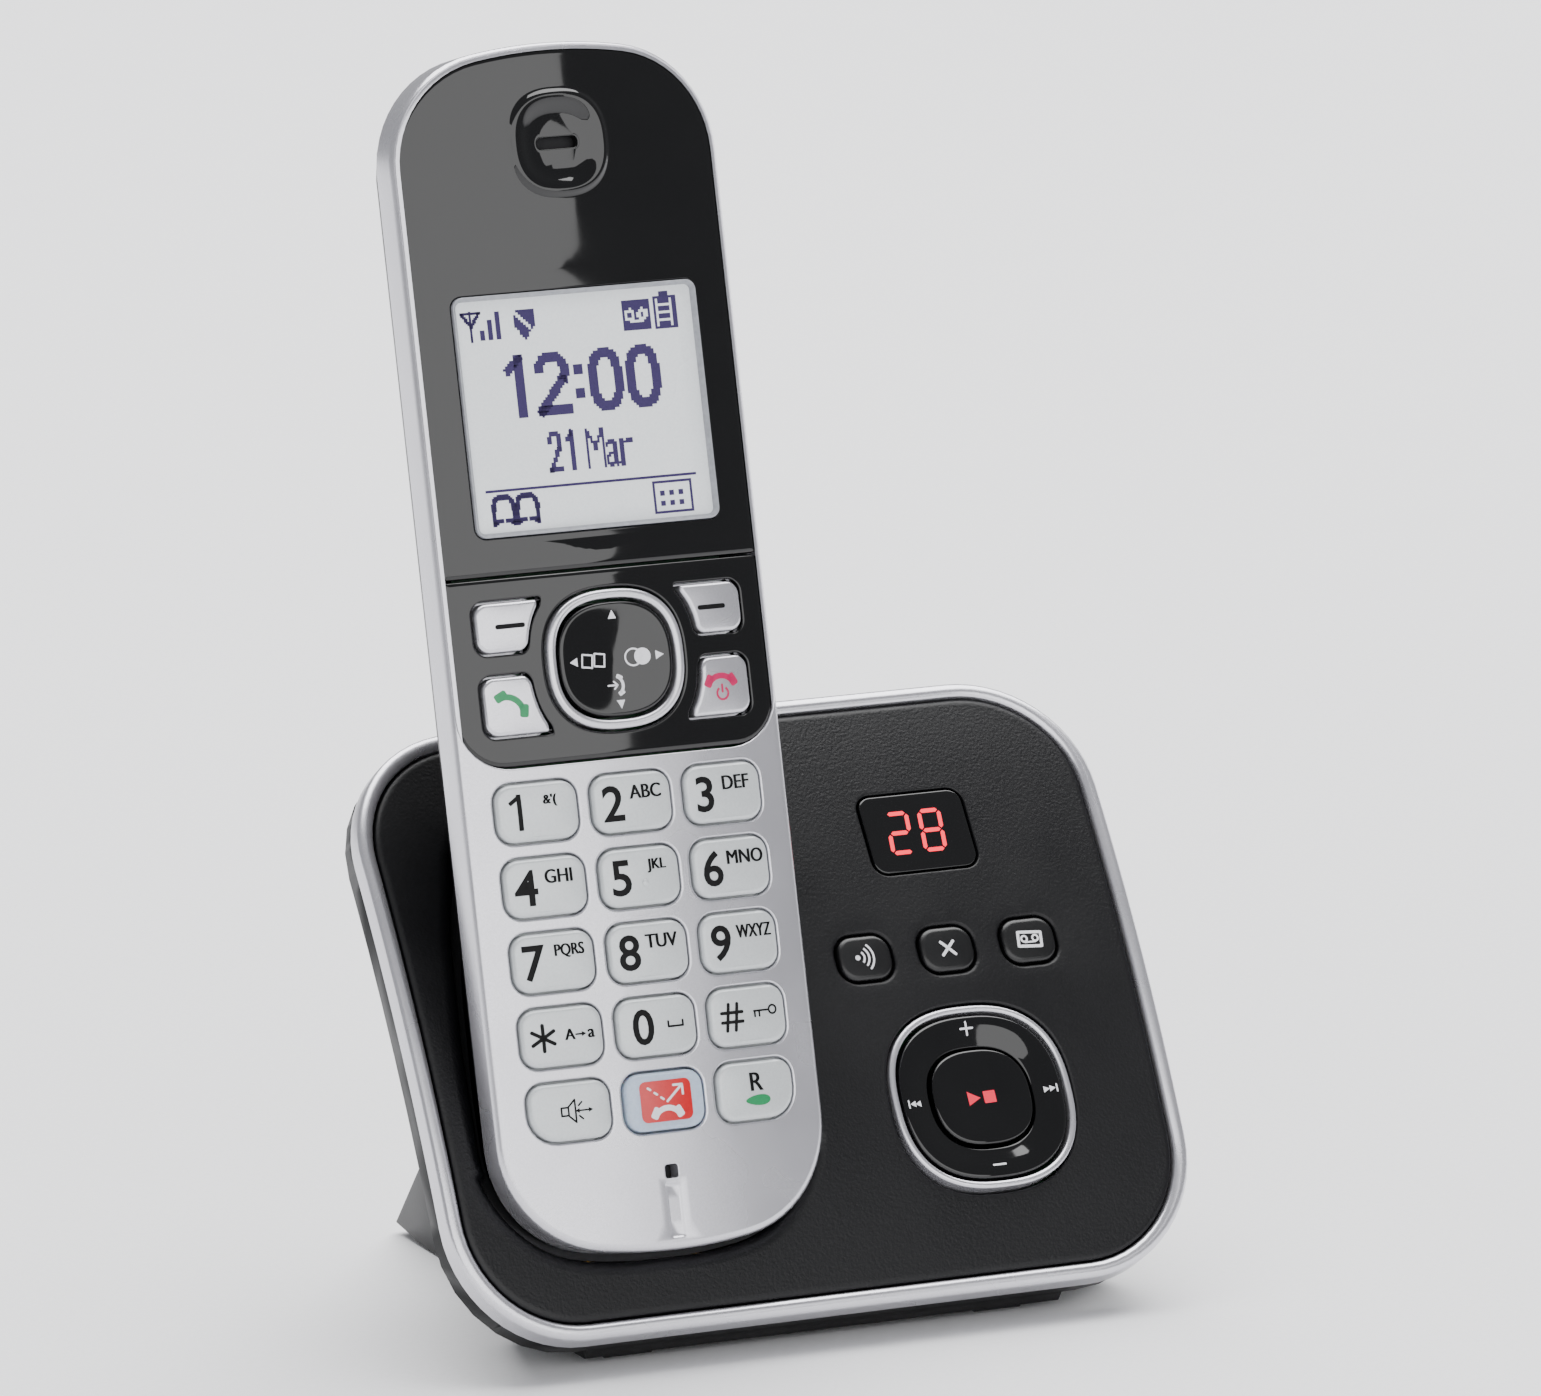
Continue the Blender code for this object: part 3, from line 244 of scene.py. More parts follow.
def plate(name, place, outer, holes, top, rim, wall, holeRim, holeBack, material, spacing=(1.6 * mm, 4 * mm),
          steps=5, guard=0.12 * mm, creases=(), sharp=40, rimDrop=None):
    # a closed solid: a skin that follows top, rounded down at its edge and at each hole, with walls and a
    # back
    holeRims = holeRim if isinstance(holeRim, (list, tuple)) else [holeRim] * len(holes)
    inner = moved(outer, -rim)
    openings = [moved(hole, r) for hole, r in zip(holes, holeRims)]
    guards = [moved(outer, -rim - guard)] + [moved(hole, r + guard) for hole, r in zip(holes, holeRims)]
    skin, triangles, order = fillBetween(inner, openings, spacing, list(creases) + (guards if guard else []))
    points = [np.stack([skin[:, 0], top(skin[:, 0], skin[:, 1]), skin[:, 1]], 1)]
    faces = [tuple(int(i) for i in t) for t in triangles]
    total = len(skin)

    def addRow(loop, depth):
        nonlocal total
        points.append(np.stack([loop[:, 0], depth, loop[:, 1]], 1))
        start = total
        total += len(loop)
        return list(range(start, total))

    def join(first, second):
        count = len(first)
        for i in range(count):
            j = (i + 1) % count
            faces.append((first[i], first[j], second[j], second[i]))

    last = []
    start = 0
    for i, (loop, radius) in enumerate(zip([outer] + list(holes), [rim] + list(holeRims))):
        row = [int(order[start + k]) for k in range(len(loop))]
        start += len(loop)
        sign = -1 if i == 0 else 1
        for step in range(1, steps + 1):
            turn = math.pi / 2 * step / steps
            shifted = moved(loop, sign * radius * (1 - math.sin(turn)))
            fall = (rimDrop if rimDrop and i == 0 else radius) * (1 - math.cos(turn))
            lower = addRow(shifted, top(shifted[:, 0], shifted[:, 1]) + fall)
            join(row, lower)
            row = lower
        for offset, depth in (wall if i == 0 else [(0, holeBack)]):
            shifted = moved(loop, offset)
            lower = addRow(shifted, depthAt(depth, shifted))
            join(row, lower)
            row = lower
        last.append((shifted, row))
    behind, backTriangles, backOrder = fillBetween(last[0][0], [loop for loop, _ in last[1:]], backSpacing)
    rename = {}
    start = 0
    for loop, row in last:
        for k in range(len(loop)):
            rename[int(backOrder[start + k])] = row[k]
        start += len(loop)
    extra = [i for i in range(len(behind)) if i not in rename]
    if extra:
        start = total
        addRow(behind[extra], depthAt(wall[-1][1], behind[extra]))
        rename.update((i, start + k) for k, i in enumerate(extra))
    faces += [tuple(rename[int(i)] for i in t) for t in backTriangles]
    return solidFrom(name, np.concatenate(points), faces, place, material, sharp)


def stacked(name, rings, place, material, sharp=40, hooped=False):
    # rings of points joined in order: a hoop joins its last ring to its first, and the rest are capped
    count = len(rings[0])
    faces = []
    for r in range(len(rings) - (not hooped)):
        above, below = r * count, (r + 1) % len(rings) * count
        faces += [(above + i, above + (i + 1) % count, below + (i + 1) % count, below + i)
                  for i in range(count)]
    if not hooped:
        faces += [tuple(range(count)), tuple(range(len(rings) * count - 1, (len(rings) - 1) * count - 1, -1))]
    return solidFrom(name, np.concatenate(rings), faces, place, material, sharp)


def ringsFrom(loop, rows):
    # the loop repeated at each (offset, depth)
    for offset, depth in rows:
        shifted = moved(loop, offset)
        yield np.stack([shifted[:, 0], depthAt(depth, shifted), shifted[:, 1]], 1)


def ringBand(name, place, loop, rows, material):
    return stacked(name, list(ringsFrom(loop, rows)), place, material, 50, True)


def roundCorners(points, radius, steps=4):
    rows = []
    points = np.array(points, float)
    for before, here, after in zip(np.roll(points, 1, 0), points, np.roll(points, -1, 0)):
        first, second = before - here, after - here
        a, b = np.linalg.norm(first), np.linalg.norm(second)
        straight = np.dot(first, second) / (a * b)
        if straight < -0.93:
            rows.append(here)
            continue
        reach = min(radius, 0.48 * a, 0.48 * b)
        start, end = here + first / a * reach, here + second / b * reach
        for t in np.linspace(0, 1, steps + 1):
            rows.append((1 - t) ** 2 * start + 2 * t * (1 - t) * here + t * t * end)
    return np.array(rows)


def boxDistance(x, z, cx, cz, width, height, corner):
    # how far (x, z) is outside a rounded box, less than nothing inside it
    qx = abs(x - cx) - width / 2 + corner
    qz = abs(z - cz) - height / 2 + corner
    return np.hypot(np.maximum(qx, 0), np.maximum(qz, 0)) + np.minimum(np.maximum(qx, qz), 0) - corner


def smooth(value, low, high):
    t = np.clip((value - low) / (high - low), 0, 1)
    return t * t * (3 - 2 * t)


def squircleShare(x, z, cx, cz, width, height, power=2.5):
    # 1 on the outline, less inside it
    return (abs((x - cx) / (width / 2)) ** power + abs((z - cz) / (height / 2)) ** power) ** (1 / power)


def finished(piece, riding, slot, *nodes):
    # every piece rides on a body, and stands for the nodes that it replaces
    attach(piece, riding)
    if nodes:
        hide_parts(*nodes)
    return piece


# printing: thin closed shapes laid on a surface, from text and from outlines

ink = {"lift": 0.045 * mm, "depth": 0.03 * mm}


def textShape(text, size, centre, bold=0.0, squeeze=1.0):
    curve = bpy.data.curves.new("lettering", "FONT")
    curve.body = text
    curve.size = 1
    curve.align_x = "CENTER"
    curve.align_y = "CENTER"
    curve.offset = bold
    curve.resolution_u = 4
    holder = placed("lettering", curve)
    mesh = holder.to_mesh()
    points = np.array([tuple(v.co) for v in mesh.vertices])[:, :2]
    faces = [tuple(face.vertices) for face in mesh.polygons]
    holder.to_mesh_clear()
    bpy.data.objects.remove(holder)
    bpy.data.curves.remove(curve)
    low, high = points.min(0), points.max(0)
    scale = size / (high[1] - low[1])
    points = (points - (low + high) / 2) * (scale * squeeze, scale) + centre
    return points, faces


def outlineShape(loop):
    return np.array(loop, float), [tuple(range(len(loop)))]


def turnedShape(shape, centre, degrees):
    points, faces = shape
    a = math.radians(degrees)
    turn = np.array([[math.cos(a), math.sin(a)], [-math.sin(a), math.cos(a)]])
    return (points - centre) @ turn + centre, faces


def bar(start, end, width, ends=0.45):
    # a straight stroke with rounded ends
    start, end = np.array(start, float), np.array(end, float)
    length = np.linalg.norm(end - start)
    loop = roundedBox(0, 0, length + width, width, ends * width, 3)
    angle = math.degrees(math.atan2(end[1] - start[1], end[0] - start[0]))
    return turnedShape(outlineShape(loop + (start + end) / 2), (start + end) / 2, angle)


def hoop(centre, width, height, stroke, power=2.0, start=0, end=360, count=40):
    # an open or closed stroke round a centre
    angles = np.radians(np.linspace(start, end, count))
    c, s = np.cos(angles), np.sin(angles)
    shape = np.stack([np.sign(c) * abs(c) ** (2 / power), np.sign(s) * abs(s) ** (2 / power)], 1)
    outer = shape * ((width + stroke) / 2, (height + stroke) / 2) + centre
    inner = shape * ((width - stroke) / 2, (height - stroke) / 2) + centre
    points = np.concatenate([outer, inner])
    return points, [(i, i + 1, count + i + 1, count + i) for i in range(count - 1)]


def refined(shape, longest=0.7 * mm):
    # triangles small enough to follow a curved key
    points, faces = shape
    flat = bmesh.new()
    corners = [flat.verts.new((x, 0, z)) for x, z in points]
    for face in faces:
        flat.faces.new([corners[i] for i in face])
    bmesh.ops.triangulate(flat, faces=flat.faces)
    for _ in range(6):
        long = [edge for edge in flat.edges if edge.calc_length() > longest]
        if not long:
            break
        bmesh.ops.subdivide_edges(flat, edges=long, cuts=1)
        bmesh.ops.triangulate(flat, faces=flat.faces)
    flat.verts.index_update()
    found = np.array([(v.co.x, v.co.z) for v in flat.verts])
    # keyed by its corners, so that no triangle is kept twice
    triangles = [tuple(v.index for v in face.verts) for face in flat.faces]
    flat.free()
    return found, list({frozenset(corners): corners for corners in triangles}.values())


def printed(name, place, surface, shapes, material, lift=ink["lift"], depth=ink["depth"]):
    # front and back sheets of each shape, joined along their open edges
    shape = bmesh.new()
    for points, faces in map(refined, shapes):
        front = [shape.verts.new((x, surface(x, z) - lift, z)) for x, z in points]
        back = [shape.verts.new((x, surface(x, z) - lift + depth, z)) for x, z in points]
        edges = {}
        for face in faces:
            shape.faces.new([front[i] for i in face])
            shape.faces.new([back[i] for i in reversed(face)])
            for a, b in zip(face, face[1:] + face[:1]):
                if edges.pop((b, a), None) is None:
                    edges[(a, b)] = True
        for a, b in edges:
            shape.faces.new([front[b], front[a], back[a], back[b]])
    bmesh.ops.recalc_face_normals(shape, faces=shape.faces)
    mesh = bpy.data.meshes.new(name)
    shape.to_mesh(mesh)
    shape.free()
    mesh.transform(place)
    mesh.materials.append(material)
    return placed(name, mesh)


# finishes

def linear(hexColour):
    channels = [int(hexColour[i:i + 2], 16) / 255 for i in (1, 3, 5)]
    return [c / 12.92 if c <= 0.04045 else ((c + 0.055) / 1.055) ** 2.4 for c in channels] + [1]


def addNode(tree, kind, settings=None, links=None):
    node = tree.nodes.new(kind)
    for key, value in (settings or {}).items():
        if isinstance(key, str) and hasattr(node, key):
            setattr(node, key, value)
        else:
            node.inputs[key].default_value = value
    for key, source in (links or {}).items():
        tree.links.new(source, node.inputs[key])
    return node


def newFinish(name, colour, roughness, extra=None):
    material = bpy.data.materials.new(name)
    material.use_nodes = True
    shader = material.node_tree.nodes["Principled BSDF"]
    shader.inputs["Base Color"].default_value = linear(colour)
    shader.inputs["Roughness"].default_value = roughness
    for key, value in (extra or {}).items():
        shader.inputs[key].default_value = value
    return material, material.node_tree, shader


def spread(tree, source, low, high):
    return addNode(tree, "ShaderNodeMapRange",
                   {"From Min": 0.3, "From Max": 0.7, "To Min": low, "To Max": high},
                   {"Value": source}).outputs[0]


def noise(tree, size, detail=2.0, seedShift=0.0):
    # size is the width of one lump
    at = addNode(tree, "ShaderNodeTexCoord").outputs["Object"]
    place = addNode(tree, "ShaderNodeMapping", {"Location": (seedShift, seedShift, 0)}, {"Vector": at})
    return addNode(tree, "ShaderNodeTexNoise", {"Scale": 1 / size, "Detail": detail},
                   {"Vector": place.outputs[0]}).outputs[0]


def twoTone(tree, source, first, second):
    ramp = addNode(tree, "ShaderNodeMix", {"data_type": "RGBA"}, {"Factor": source})
    ramp.inputs[6].default_value = linear(first)
    ramp.inputs[7].default_value = linear(second)
    return ramp.outputs[2]


def texturedFinish(name, colour, second, roughness, grain, depth, patch=0.06, extra=None, strength=0.4):
    # a surface grain of one size in mm, with a little bump, slow patches of gloss, and a slight change of
    # colour
    material, tree, shader = newFinish(name, colour, roughness, extra)
    fine = noise(tree, grain * mm, 3.0)
    slow = noise(tree, 18 * mm, 2.0, 0.37)
    tree.links.new(spread(tree, slow, roughness - patch, roughness + patch), shader.inputs["Roughness"])
    tree.links.new(twoTone(tree, spread(tree, fine, 0, 1), colour, second), shader.inputs["Base Color"])
    bump = addNode(tree, "ShaderNodeBump", {"Strength": strength, "Distance": depth * mm}, {"Height": fine})
    tree.links.new(bump.outputs[0], shader.inputs["Normal"])
    return material


def padInk(name, colour, second, roughness=0.35, extra=None):
    # printed ink: a thin even film with a soft sheen, flat against the plastic round it
    return texturedFinish("pad_printed_" + name, colour, second, roughness, 0.2, 0.003, 0.04, extra, 0.2)


# ABS sprayed with aluminium-flake paint under a satin clear: bright where it faces the light, with a fine
# sparkle
silverPaint = texturedFinish("aluminium_flake_paint", "#C9C8CE", "#D3D2D8", 0.27, 0.25, 0.004, 0.04,
                             {"Metallic": 0.82, "Coat Weight": 0.35, "Coat Roughness": 0.12}, 0.25)
# ABS polished in the mould: black with a sharp reflection that waves a little, and faint handling marks
pianoBlack = texturedFinish("polished_black_abs", "#030304", "#050506", 0.045, 7, 0.012, 0.02,
                            {"IOR": 1.5, "Coat Weight": 0.2}, 0.3)
# ABS moulded against a spark-eroded steel: a fine even pitting that spreads the highlight
sparkBlack = texturedFinish("spark_eroded_black_abs", "#070709", "#0B0B0E", 0.4, 0.42, 0.09, 0.05,
                            {"IOR": 1.5, "Specular IOR Level": 0.32}, 0.6)
# the same steel, worn smoother: a button with a soft sheen
sparkBlackSoft = texturedFinish("worn_spark_black_abs", "#040405", "#060608", 0.3, 0.35, 0.02, 0.04,
                                {"IOR": 1.5}, 0.35)
# the same black with a shallower grain, dull and even, as a rear case is left
rearBlack = texturedFinish("fine_grained_black_abs", "#070709", "#0B0B0D", 0.42, 0.4, 0.03, 0.06,
                           {"IOR": 1.5, "Specular IOR Level": 0.3}, 0.35)
# silicone keys with a sprayed satin coat: soft pale grey, almost no sparkle
keyCoat = texturedFinish("satin_coated_key_grey", "#BFC3C5", "#C7CBCC", 0.33, 0.3, 0.01, 0.05,
                         {"IOR": 1.46, "Metallic": 0.25, "Coat Weight": 0.15}, 0.3)
# the block key's red window: a deep glossy red that light enters a little
blockRed = texturedFinish("moulded_red_polycarbonate", "#C00A12", "#C81219", 0.2, 0.6, 0.005, 0.05,
                          {"IOR": 1.58, "Subsurface Weight": 0.1}, 0.3)
# feet and pad: dead matt black rubber, with no highlight to speak of. On the receiver and microphone behind
# their openings it is their own dark colour and painted shade in those openings, and on the base's sound
# slots it is painted shade alone
rubberAndOpeningShade = texturedFinish("moulded_black_rubber_and_opening_shade", "#17171A", "#1E1E21", 0.75, 0.3, 0.03, 0.05,
                            {"IOR": 1.52}, 0.4)
# the sheet under the keys: cloudy grey with a waxy depth
matSilicone = texturedFinish("translucent_grey_silicone", "#8E9294", "#999D9F", 0.6, 0.5, 0.01, 0.05,
                             {"IOR": 1.41, "Subsurface Weight": 0.2}, 0.3)
# FR4 under green solder mask: paler blotches where copper lies under it
boardGreen = texturedFinish("green_solder_mask", "#0B4A26", "#1A6B3C", 0.35, 1.2, 0.03, 0.05,
                            {"IOR": 1.5, "Coat Weight": 0.3}, 0.4)
# nickel on steel: warm grey, bright but slightly brushed
platedSteel = texturedFinish("nickel_plated_steel", "#B8B4A8", "#C6C2B6", 0.22, 0.15, 0.004, 0.06,
                             {"Metallic": 1.0}, 0.3)
# gold flash: the one warm glint in the pocket
goldContact = texturedFinish("gold_flashed_contact", "#C79A45", "#D6AB57", 0.25, 0.12, 0.004, 0.05,
                             {"Metallic": 1.0}, 0.3)
# shrink sleeve: blue with a slick film and slight wrinkles
cellJacket = texturedFinish("shrink_wrapped_cell_jacket", "#27508C", "#2F5B99", 0.28, 1.5, 0.02, 0.05,
                            {"IOR": 1.52, "Coat Weight": 0.3}, 0.2)
# reflective LCD: a pale grey polariser under a clear front that takes a soft reflection
lcdFace = texturedFinish("reflective_lcd_polariser", "#DDE1E4", "#E4E8EA", 0.3, 0.35, 0.002, 0.05,
                         {"IOR": 1.49, "Coat Weight": 0.5, "Coat Roughness": 0.05}, 0.2)
# a dot switched on: deep violet blue, which reads darker than ink on the pale screen
lcdDot = texturedFinish("switched_lcd_dot", "#22104A", "#2A1752", 0.5, 0.3, 0.002, 0.03, {"IOR": 1.49}, 0.1)
# the sloping frame round the screen: mid grey, so that the screen looks set back
lcdShade = texturedFinish("lcd_frame_shade", "#8E9096", "#A0A2A8", 0.45, 0.8, 0.002, 0.03, None, 0.1)
# legends; the black one is kept from shining, so that figures stay dark from every side
blackInk = padInk("black_ink", "#020203", "#050506", 0.6, {"Specular IOR Level": 0.2})
whiteInk = padInk("white_ink", "#DADADF", "#E3E3E7", 0.4)
greenInk = padInk("green_ink", "#007A45", "#04844D")
magentaInk = padInk("magenta_ink", "#B00A4C", "#B81455")
roseInk = padInk("rose_ink", "#F0223F", "#F22E4A")
# the block key's frame: pale blue plastic with light spreading inside it
frameClear = texturedFinish("pale_blue_key_frame", "#A9B4C6", "#B5BFD0", 0.25, 0.5, 0.003, 0.04,
                            {"IOR": 1.49, "Subsurface Weight": 0.15}, 0.2)
# light-emitting segments behind a smoked window: an even rose red glow
ledRed = texturedFinish("lit_led_segment", "#D01028", "#D01028", 0.5, 0.3, 0.002, 0.03,
                        {"Emission Color": linear("#FF1A36"), "Emission Strength": 1.6}, 0.1)
# smoked acrylic: the blackest and sharpest surface, like still water
smokedLens = texturedFinish("smoked_acrylic", "#060607", "#080809", 0.03, 6, 0.006, 0.01,
                            {"IOR": 1.49, "Coat Weight": 0.2}, 0.2)
# seamless paper: off white and matt, with a faint fibre
floorPaper = texturedFinish("pale_backdrop_paper", "#ECECEE", "#F0F0F2", 0.75, 0.9, 0.01, 0.05, None, 0.1)

# the CAD nodes that keep their own shape, and those whose eased copies take the finish with them
nodesOf = ((rearBlack,
            ("navigator_pivot", "base_navigator_pivot", "line_socket", "power_socket", "base_lower_case",
                        "stand", "handset_rear_case", "battery_cover")),
           # dark matt on the receiver and microphone: their own dark colour, and painted shade in the
           # openings over them
           (rubberAndOpeningShade, ("earpiece_receiver", "microphone", "front_foot_left", "front_foot_right",
                         "rear_pad")),
           (goldContact, ("charge_plate_left", "charge_plate_right", "charge_pin_left", "charge_pin_right")),
           (platedSteel, ("handset_speaker", "base_speaker")),
           (cellJacket, ("battery_left", "battery_right")),
           (boardGreen, ("handset_circuit_board", "base_circuit_board")), (matSilicone, ("keypad_mat",)),
           (smokedLens, ("counter_display",)))
for finish, nodeNames in nodesOf:
    for nodeName in nodeNames:
        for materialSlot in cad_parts[nodeName].material_slots:
            materialSlot.material = finish
print("finishes:", len(bpy.data.materials))


# the handset's two casings

def faceTop(x, z):
    return faceDrop(x)


keys = inMm(width=11.6, height=7.9, corner=2.3, outerCorner=3.9, pitch=13.83, rowPitch=10.2, topRow=61.1,
            proud=0.7, pillow=0.3, edge=0.6, flange=0.6, gap=0.3)
keyRows = (("key_1", "key_2", "key_3"), ("key_4", "key_5", "key_6"), ("key_7", "key_8", "key_9"),
           ("key_star", "key_0", "key_hash"), ("key_speaker", "key_block", "key_recall"))
frontCase = inMm(rim=1.1, wall=1.8, faceBack=2.6, mic=10.7, micHole=1.9, groove=2.4, grooveDepth=0.3,
                 grooveFoot=1.6, wellEdge=0.3)


def keyCentres():
    for row, names in enumerate(keyRows):
        for column, name in enumerate(names):
            yield name, row, column, (column - 1) * keys["pitch"], keys["topRow"] - row * keys["rowPitch"]


def keyOutline(row, column, x, z, grow=0.0):
    last = row == len(keyRows) - 1
    left = keys["outerCorner"] + grow if last and column == 0 else None
    right = keys["outerCorner"] + grow if last and column == 2 else None
    return roundedBox(x, z, keys["width"] + 2 * grow, keys["height"] + 2 * grow, keys["corner"] + grow, 6,
                      left, right)


def lensBox(grow, corner, steps=4):
    return roundedBox(0, cover["lensCentre"], cover["lensWidth"] + grow, cover["lensHeight"] + grow, corner,
                      steps)


def ringShape(grow=0.0, scale=1.0):
    width, height = navigation["ringWidth"] + grow, navigation["ringHeight"] + grow
    return squircle(0, navigation["ring"], width * scale, height * scale)


def grooveBox():
    # the groove runs from just under the microphone hole down to the case's rounded end
    top = frontCase["mic"] - frontCase["micHole"] / 2 - 0.55 * mm
    return (top + frontCase["grooveFoot"]) / 2, top - frontCase["grooveFoot"]


def frontTop(x, z):
    middle, tall = grooveBox()
    out = boxDistance(x, z, 0, middle, frontCase["groove"], tall, 0.5 * mm)
    return faceDrop(x) + frontCase["grooveDepth"] * (1 - smooth(out, -0.35 * mm, 0.05 * mm))


def grooveCreases():
    middle, tall = grooveBox()
    for shrink in (-0.12 * mm, 0.06 * mm, 0.2 * mm, 0.38 * mm):
        yield roundedBox(0, middle, frontCase["groove"] - 2 * shrink, tall - 2 * shrink,
                         0.5 * mm - shrink * 0.5, 5)


def makeFrontCase():
    wells = [keyOutline(row, column, x, z, keys["gap"]) for _, row, column, x, z in keyCentres()]
    mic = roundedBox(0, frontCase["mic"], frontCase["micHole"], frontCase["micHole"], 0.4 * mm, 4)
    holes = [coverOutline(-keys["gap"])] + wells + [mic]
    rims = [0.25 * mm] + [frontCase["wellEdge"]] * len(wells) + [0.12 * mm]
    wall = [(0, body["caseDepth"]), (-frontCase["wall"], body["caseDepth"]),
            (-frontCase["wall"], frontCase["faceBack"])]
    case = plate("frontCasing", handsetAt, handsetOutline(), holes, frontTop, frontCase["rim"], wall, rims,
                 frontCase["faceBack"], silverPaint, (1.5 * mm, 3 * mm), creases=list(grooveCreases()))
    finished(case, "handset", "silver_case", "handset_front_case")


makeFrontCase()
print("front casing made")

cover = inMm(seam=93.4, thickness=2, rim=0.9, rimDrop=0.35, lensWidth=36.2, lensHeight=32.9, lensCentre=115,
             lensCorner=1.5, ear=151.4, earSize=15, earProud=0.5, earDish=0.45)


def earTop(x, z):
    share = squircleShare(x, z, 0, cover["ear"], cover["earSize"], cover["earSize"])
    up = cover["earProud"] * (1 - smooth(share, 0.9, 1.0))
    down = (cover["earProud"] + cover["earDish"]) * (1 - smooth(share, 0.5, 0.86))
    return faceDrop(x) - up + down


def coverBack(x, z):
    return cover["thickness"] + faceDrop(x)


def makeDisplayCover():
    edge = body["coverMargin"]
    half = body["width"] / 2 - edge
    high = endRow(half, edge, body["corner"] - edge, body["sweep"] - edge) * (-1, -1) + (0, body["length"])
    foot = roundedBox(0, cover["seam"] + 5 * mm, 2 * half, 10 * mm, 0.5 * mm, 4)[:10]
    outline = evened(np.concatenate([foot, high]), 1.6 * mm)
    lens = lensBox(0, cover["lensCorner"], 6)
    slot = roundedBox(0, cover["ear"], 6 * mm, 1.6 * mm, 0.7 * mm, 5)
    creases = [squircle(0, cover["ear"], cover["earSize"] * s, cover["earSize"] * s)
               for s in (1.03, 1.0, 0.97, 0.94, 0.9, 0.86, 0.8, 0.74, 0.68, 0.6, 0.52)]
    piece = plate("displayCover", handsetAt, outline, [lens, slot], earTop, cover["rim"], [(0, coverBack)],
                  [0.25 * mm, 0.15 * mm], coverBack, pianoBlack, (1.5 * mm, 3 * mm), creases=creases,
                  rimDrop=cover["rimDrop"])
    finished(piece, "handset", "gloss_black", "display_cover")


makeDisplayCover()

lcd = inMm(depth=1.15, slope=0.6, lip=0.4, dot=0.345, dotRise=0.02)


def makeLcd():
    outline = lensBox(2 * mm, 1 * mm)
    rear = cover["thickness"] + faceDrop(cover["lensWidth"] / 2 + 1 * mm) + 0.3 * mm

    def front(x, z):
        out = boxDistance(x, z, 0, cover["lensCentre"], cover["lensWidth"], cover["lensHeight"], 1 * mm)
        return lcd["depth"] + (rear - lcd["depth"]) * smooth(out, -0.3 * mm, 0.1 * mm)
    creases = [lensBox(grow * mm, 1.2 * mm) for grow in (-0.7, -0.55, 0.1, 0.3)]
    piece = plate("lcdPanel", handsetAt, outline, [], front, 0.2 * mm, [(0, rear + 2 * mm)], [], 0, lcdFace,
                  (4 * mm, 4 * mm), creases=creases, guard=0)
    finished(piece, "handset", "display_glass", "display_module")
    opening = lensBox(-0.1 * mm, 1.45 * mm, 6)
    rows = [(0, lcd["lip"]), (-0.1 * mm, lcd["lip"] - 0.06 * mm), (-lcd["slope"], lcd["depth"] - 0.12 * mm),
            (-lcd["slope"], lcd["depth"] - 0.03 * mm), (0, lcd["depth"] - 0.03 * mm)]
    finished(ringBand("lcdFrame", handsetAt, opening, rows, lcdShade), "handset", "display_glass")


makeLcd()

navigation = inMm(seamGap=0.3, ring=80.7, ringWidth=20.2, ringHeight=19.1, band=1.3, gap=0.4, outer=19.7,
                  clear=2.6, sideProud=0.5, softSpan=(83, 89.8), callSpan=(71.7, 79.7))


def sideKeyOutline(side, span, grow=0.0):
    # straight outside, hollowed inside so that it follows the ring
    low, high = span[0] - grow, span[1] + grow
    outer = navigation["outer"] + grow
    reachX = navigation["ringWidth"] / 2 + navigation["clear"] - grow
    reachZ = navigation["ringHeight"] / 2 + navigation["clear"] + 0.3 * mm - grow
    inner = []
    for i in range(9):
        z = low + (high - low) * i / 8
        share = min(abs(z - navigation["ring"]) / reachZ, 0.96)
        inner.append((reachX * (1 - share ** 2.5) ** (1 / 2.5), z))
    nick = 1.1 * mm
    outline = [(outer - nick, high), (inner[-1][0] + 0.7 * mm, high)] + inner[-2:0:-1]
    outline += [(inner[0][0] + 0.7 * mm, low), (outer - nick, low), (outer, low + nick), (outer, high - nick)]
    points = np.array([(side * x, z) for x, z in outline][::side])
    return evened(roundCorners(points, 0.9 * mm + grow), 1.2 * mm)


sideKeys = {"soft_key_left": (-1, "softSpan"), "soft_key_right": (1, "softSpan"),
            "talk_key": (-1, "callSpan"),
            "off_key": (1, "callSpan")}


def makeNavigationPanel():
    edge = body["coverMargin"]
    half = body["width"] / 2 - edge
    top = cover["seam"] - navigation["seamGap"]
    corner = body["panelCorner"] - edge
    low = roundedBox(0, 0, 2 * half, 30 * mm, corner)[:18] + (0, 15 * mm + body["panelBottom"])
    high = roundedBox(0, top - 5 * mm, 2 * half, 10 * mm, 0.5 * mm, 4)[10:]
    outline = evened(np.concatenate([low, high]), 1.6 * mm)
    holes = [ringShape(0.6 * mm)]
    holes += [sideKeyOutline(side, navigation[span], 0.3 * mm) for side, span in sideKeys.values()]
    piece = plate("navigationPanel", handsetAt, outline, holes, faceTop, cover["rim"], [(0, coverBack)],
                  [0.35 * mm] + [0.3 * mm] * 4, coverBack, pianoBlack, (1.5 * mm, 3 * mm),
                  rimDrop=cover["rimDrop"])
    finished(piece, "handset", "gloss_black", "navigation_panel")


makeNavigationPanel()


def hoopRows(band, proud, depth, drop=0.0, rounding=0.45 * mm):
    # a half-round top between an outer and an inner wall
    rows = [(0, drop + depth), (0, drop - proud + rounding)]
    for i in range(1, 8):
        turn = math.pi * i / 8
        rows.append((-band / 2 + band / 2 * math.cos(turn), drop - proud + rounding * (1 - math.sin(turn))))
    return rows + [(-band, drop - proud + rounding), (-band, drop + depth)]


